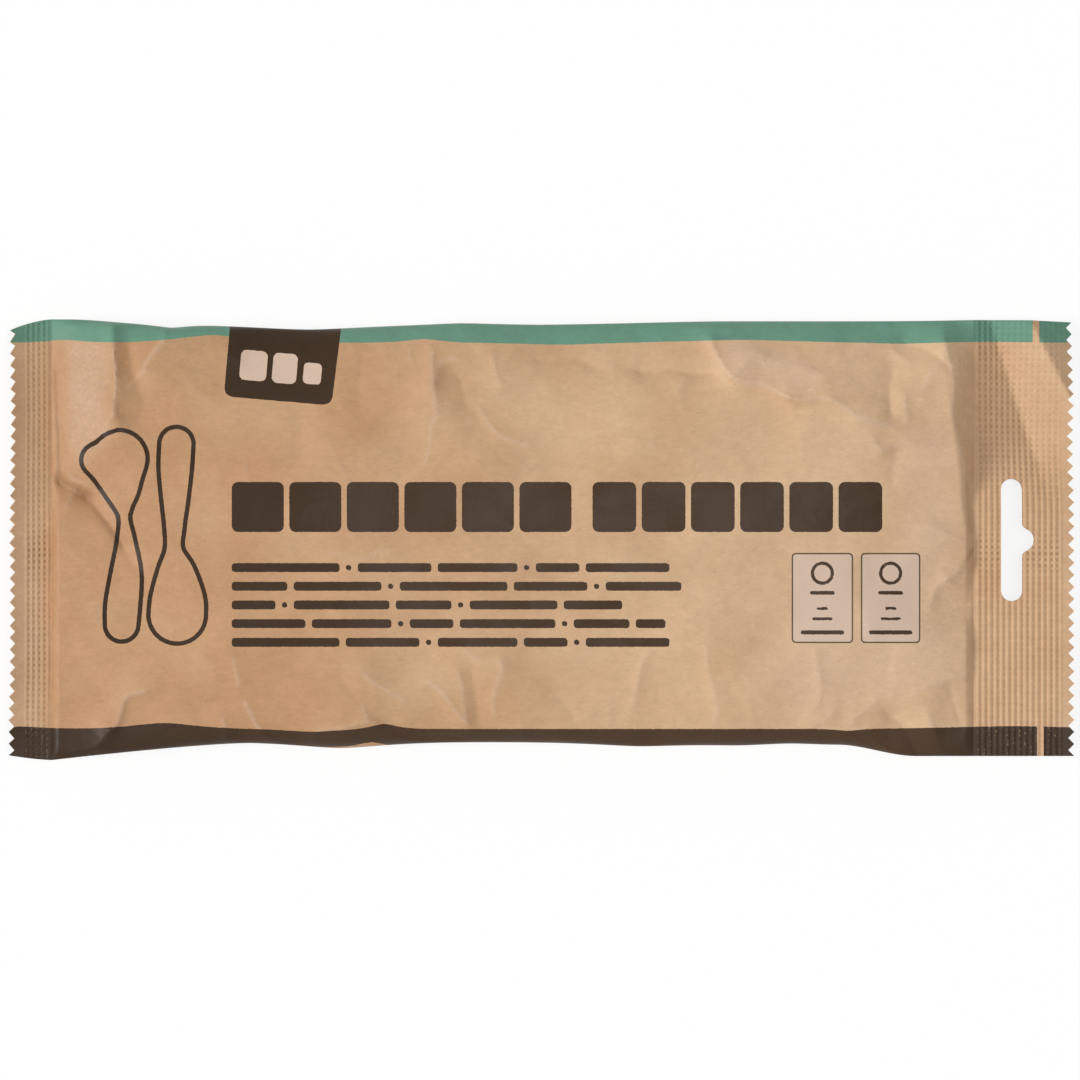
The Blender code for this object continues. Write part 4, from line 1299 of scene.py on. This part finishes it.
def build_seal(name, front_points, back_points, quads, ribs, sizes):
    """Piece for one seal, from its two plies: the front's points come first and the back's after them."""
    front, back = print_on_front(front_points), print_on_back(back_points)
    values = {key: np.concatenate((front[key].ravel(), back[key].ravel())) for key in front}
    crest, pit = crimp_values(ribs, sizes)
    unmarked = np.zeros(pit.size)
    values["crimp_crest"] = np.concatenate((crest.ravel(), unmarked))
    # Depth in a pit, which the material paints as shade
    values["pit_and_fold_shade"] = np.concatenate((pit.ravel(), unmarked))
    values["crease_wear_and_highlight"] = np.concatenate((unmarked, unmarked))
    points = np.concatenate((front_points.reshape(-1, 3), back_points.reshape(-1, 3)))
    make_piece(name, points, quads, (), values)


class PACK_OT_left_seal(Operator):
    """Build the crimped seal that curls up at the left end"""

    bl_idname = "spoon_pack.left_seal"
    bl_label = "Left seal"

    def execute(self, context):
        sizes = context.scene.pack_sizes
        out, share = seal_grid(LEFT_SEAL, LEFT_MARGIN, sizes)
        upper, lower = side_folds(np.array([LEFT_SEAM]))
        upper = upper - UPPER_TAPER * (out / LEFT_SEAL) ** TAPER_POWER
        lower = lower + LOWER_TAPER * (out / LEFT_SEAL) ** TAPER_POWER
        y = lower + (upper - lower) * share
        bars, strength = pressed(y, LEFT_PRESSING)
        strength += LEFT_LOWER_STRENGTH * bell(y - LEFT_LOWER_BAND, LEFT_LOWER_REACH)
        ribs = crimp(out, share, LEFT_RIBS, bars, strength, sizes)
        front_x, front_z = curled(out, y, sizes.two_plies / 2.0 + ribs)
        back_x, back_z = curled(out, y, ribs - sizes.two_plies / 2.0 - fin_drop(y))
        front_points = np.stack((front_x, y, front_z), axis=-1)
        back_points = np.stack((back_x, y, back_z), axis=-1)
        keep = np.ones((y.shape[0] - 1, y.shape[1] - 1), bool)
        quads = sheet_faces(*y.shape, keep)[:, ::-1]
        build_seal("left_seal", front_points, back_points, quads, ribs, sizes)
        return {"FINISHED"}


class PACK_OT_header_seal(Operator):
    """Build the deep crimped header with its hang slot"""

    bl_idname = "spoon_pack.header_seal"
    bl_label = "Header seal"

    def execute(self, context):
        sizes = context.scene.pack_sizes
        out, share = seal_grid(RIGHT_SEAL, RIGHT_MARGIN, sizes)
        x = RIGHT_SEAM + out
        upper, lower = side_folds(x)
        y = lower + (upper - lower) * share
        x, y, keep = cut_slot(x, y, RIB_PITCH / RIB_STEPS)
        out = x - RIGHT_SEAM
        upper_half = smooth((y - WAVE_BOTTOM) / WAVE_FADE)
        past_valley = upper_half * smooth((out - header_lines(y)[0]) / PAST_VALLEY_RUN)
        bars, strength = pressed(y, HEADER_PRESSING)
        bars += HEADER_UPPER_BARS * upper_half
        strength += PAST_VALLEY_STRENGTH * past_valley
        ribs = crimp(out, share, RIGHT_RIBS, bars, strength, sizes)
        height = SEAL_HEIGHT + header_wave(out, y) + ribs
        front_points = np.stack((x, y, height + sizes.two_plies / 2.0), axis=-1)
        back_points = np.stack((x, y, height - sizes.two_plies / 2.0 - fin_drop(y)), axis=-1)
        quads = sheet_faces(*y.shape, keep)
        build_seal("header_seal", front_points, back_points, quads, ribs, sizes)
        return {"FINISHED"}


def white_world(share):
    """World that lights the pack softly from all round, and shows as white to the camera and in gloss."""
    world = bpy.data.worlds.new("white_studio")
    bpy.context.scene.world = world
    world.use_nodes = True
    tree = world.node_tree
    background = tree.nodes["Background"]
    background.inputs["Color"].default_value = (1.0, 1.0, 1.0, 1.0)
    path = tree.nodes.new("ShaderNodeLightPath")
    seen = path.outputs["Is Camera Ray"]
    for name in ("Is Glossy Ray", "Is Transmission Ray"):
        both = tree.nodes.new("ShaderNodeMath")
        both.operation = "MAXIMUM"
        tree.links.new(seen, both.inputs[0])
        tree.links.new(path.outputs[name], both.inputs[1])
        seen = both.outputs["Value"]
    strength = tree.nodes.new("ShaderNodeMapRange")
    strength.inputs["To Min"].default_value = share
    strength.inputs["To Max"].default_value = 1.0
    tree.links.new(seen, strength.inputs["Value"])
    tree.links.new(strength.outputs["Result"], background.inputs["Strength"])


def add_lamp(name, share, tilt, turn, distance, size):
    """Square lamp that points at the pack's middle and gives this share of a level surface's light there."""
    way = Vector((math.sin(tilt) * math.cos(turn), math.sin(tilt) * math.sin(turn), math.cos(tilt)))
    light = bpy.data.lights.new(name, "AREA")
    light.size = size
    light.energy = share * math.pi ** 2 * distance ** 2 / math.cos(tilt)
    lamp = bpy.data.objects.new(name, light)
    bpy.context.scene.collection.objects.link(lamp)
    lamp.location = way * distance
    lamp.rotation_euler = way.to_track_quat("Z", "Y").to_euler()


def floor_paint(glow):
    """White floor that keeps the pack's shadow. To the camera, part of its white is its own glow."""
    nodes = PaperNodes("pale_floor")
    nodes.shader.inputs["Roughness"].default_value = 0.9
    nodes.shader.inputs["Specular IOR Level"].default_value = 0.0
    seen = nodes.add("ShaderNodeLightPath").outputs["Is Camera Ray"]
    own = nodes.math("MULTIPLY", seen, glow)
    rest = nodes.math("SUBTRACT", 1.0, own)
    nodes.feed(nodes.shader.inputs["Base Color"], nodes.shaded((1.0, 1.0, 1.0), rest))
    nodes.shader.inputs["Emission Color"].default_value = (1.0, 1.0, 1.0, 1.0)
    nodes.feed(nodes.shader.inputs["Emission Strength"], own)
    return nodes.material


class PACK_OT_stage(Operator):
    """Set up the floor, the light and the camera"""

    bl_idname = "spoon_pack.stage"
    bl_label = "Stage"

    def execute(self, context):
        scene = context.scene
        settings = scene.pack_stage
        scene.view_settings.view_transform = "Standard"
        white_world(1.0 - settings.key_share - settings.fill_share)
        half = settings.floor_size / 2.0
        mesh = bpy.data.meshes.new("floor")
        corners = [(-half, -half, 0), (half, -half, 0), (half, half, 0), (-half, half, 0)]
        mesh.from_pydata(corners, [], [(0, 1, 2, 3)])
        floor = bpy.data.objects.new("floor", mesh)
        scene.collection.objects.link(floor)
        mesh.materials.append(floor_paint(settings.floor_glow))
        add_lamp("key_lamp", settings.key_share, settings.key_tilt, settings.key_turn,
                 settings.key_distance, settings.key_size)
        add_lamp("fill_lamp", settings.fill_share, settings.fill_tilt, 0.0,
                 settings.fill_distance, settings.fill_size)

        camera = bpy.data.objects.new("camera", bpy.data.cameras.new("camera"))
        scene.collection.objects.link(camera)
        camera.data.lens = CAMERA_LENS
        camera.data.sensor_width = SENSOR_WIDTH
        camera.location = (0.0, 0.0, SEAL_HEIGHT + CAMERA_DISTANCE)
        scene.camera = camera
        return {"FINISHED"}


class PACK_PT_panel(Panel):
    """Lists the pieces and their settings"""

    bl_idname = "PACK_PT_panel"
    bl_label = "Spoon Pack"
    bl_space_type = "VIEW_3D"
    bl_region_type = "UI"
    bl_category = "Spoon Pack"

    def draw(self, context):
        layout = self.layout
        for operator in (PACK_OT_wrap_body, PACK_OT_left_seal, PACK_OT_header_seal, PACK_OT_stage):
            layout.operator(operator.bl_idname)
        for settings in (context.scene.pack_sizes, context.scene.pack_colours, context.scene.pack_stage):
            column = layout.column()
            for key in settings.bl_rna.properties.keys():
                if key not in ("rna_type", "name"):
                    column.prop(settings, key)


CLASSES = (
    PackSizes,
    PackColours,
    StageSettings,
    PACK_OT_wrap_body,
    PACK_OT_left_seal,
    PACK_OT_header_seal,
    PACK_OT_stage,
    PACK_PT_panel,
)


def register():
    for cls in CLASSES:
        bpy.utils.register_class(cls)
    bpy.types.Scene.pack_sizes = PointerProperty(type=PackSizes)
    bpy.types.Scene.pack_colours = PointerProperty(type=PackColours)
    bpy.types.Scene.pack_stage = PointerProperty(type=StageSettings)


def unregister():
    del bpy.types.Scene.pack_stage
    del bpy.types.Scene.pack_colours
    del bpy.types.Scene.pack_sizes
    for cls in reversed(CLASSES):
        bpy.utils.unregister_class(cls)


def main():
    register()
    bpy.ops.spoon_pack.wrap_body()
    bpy.ops.spoon_pack.left_seal()
    bpy.ops.spoon_pack.header_seal()
    bpy.ops.spoon_pack.stage()


if __name__ == "__main__":
    main()
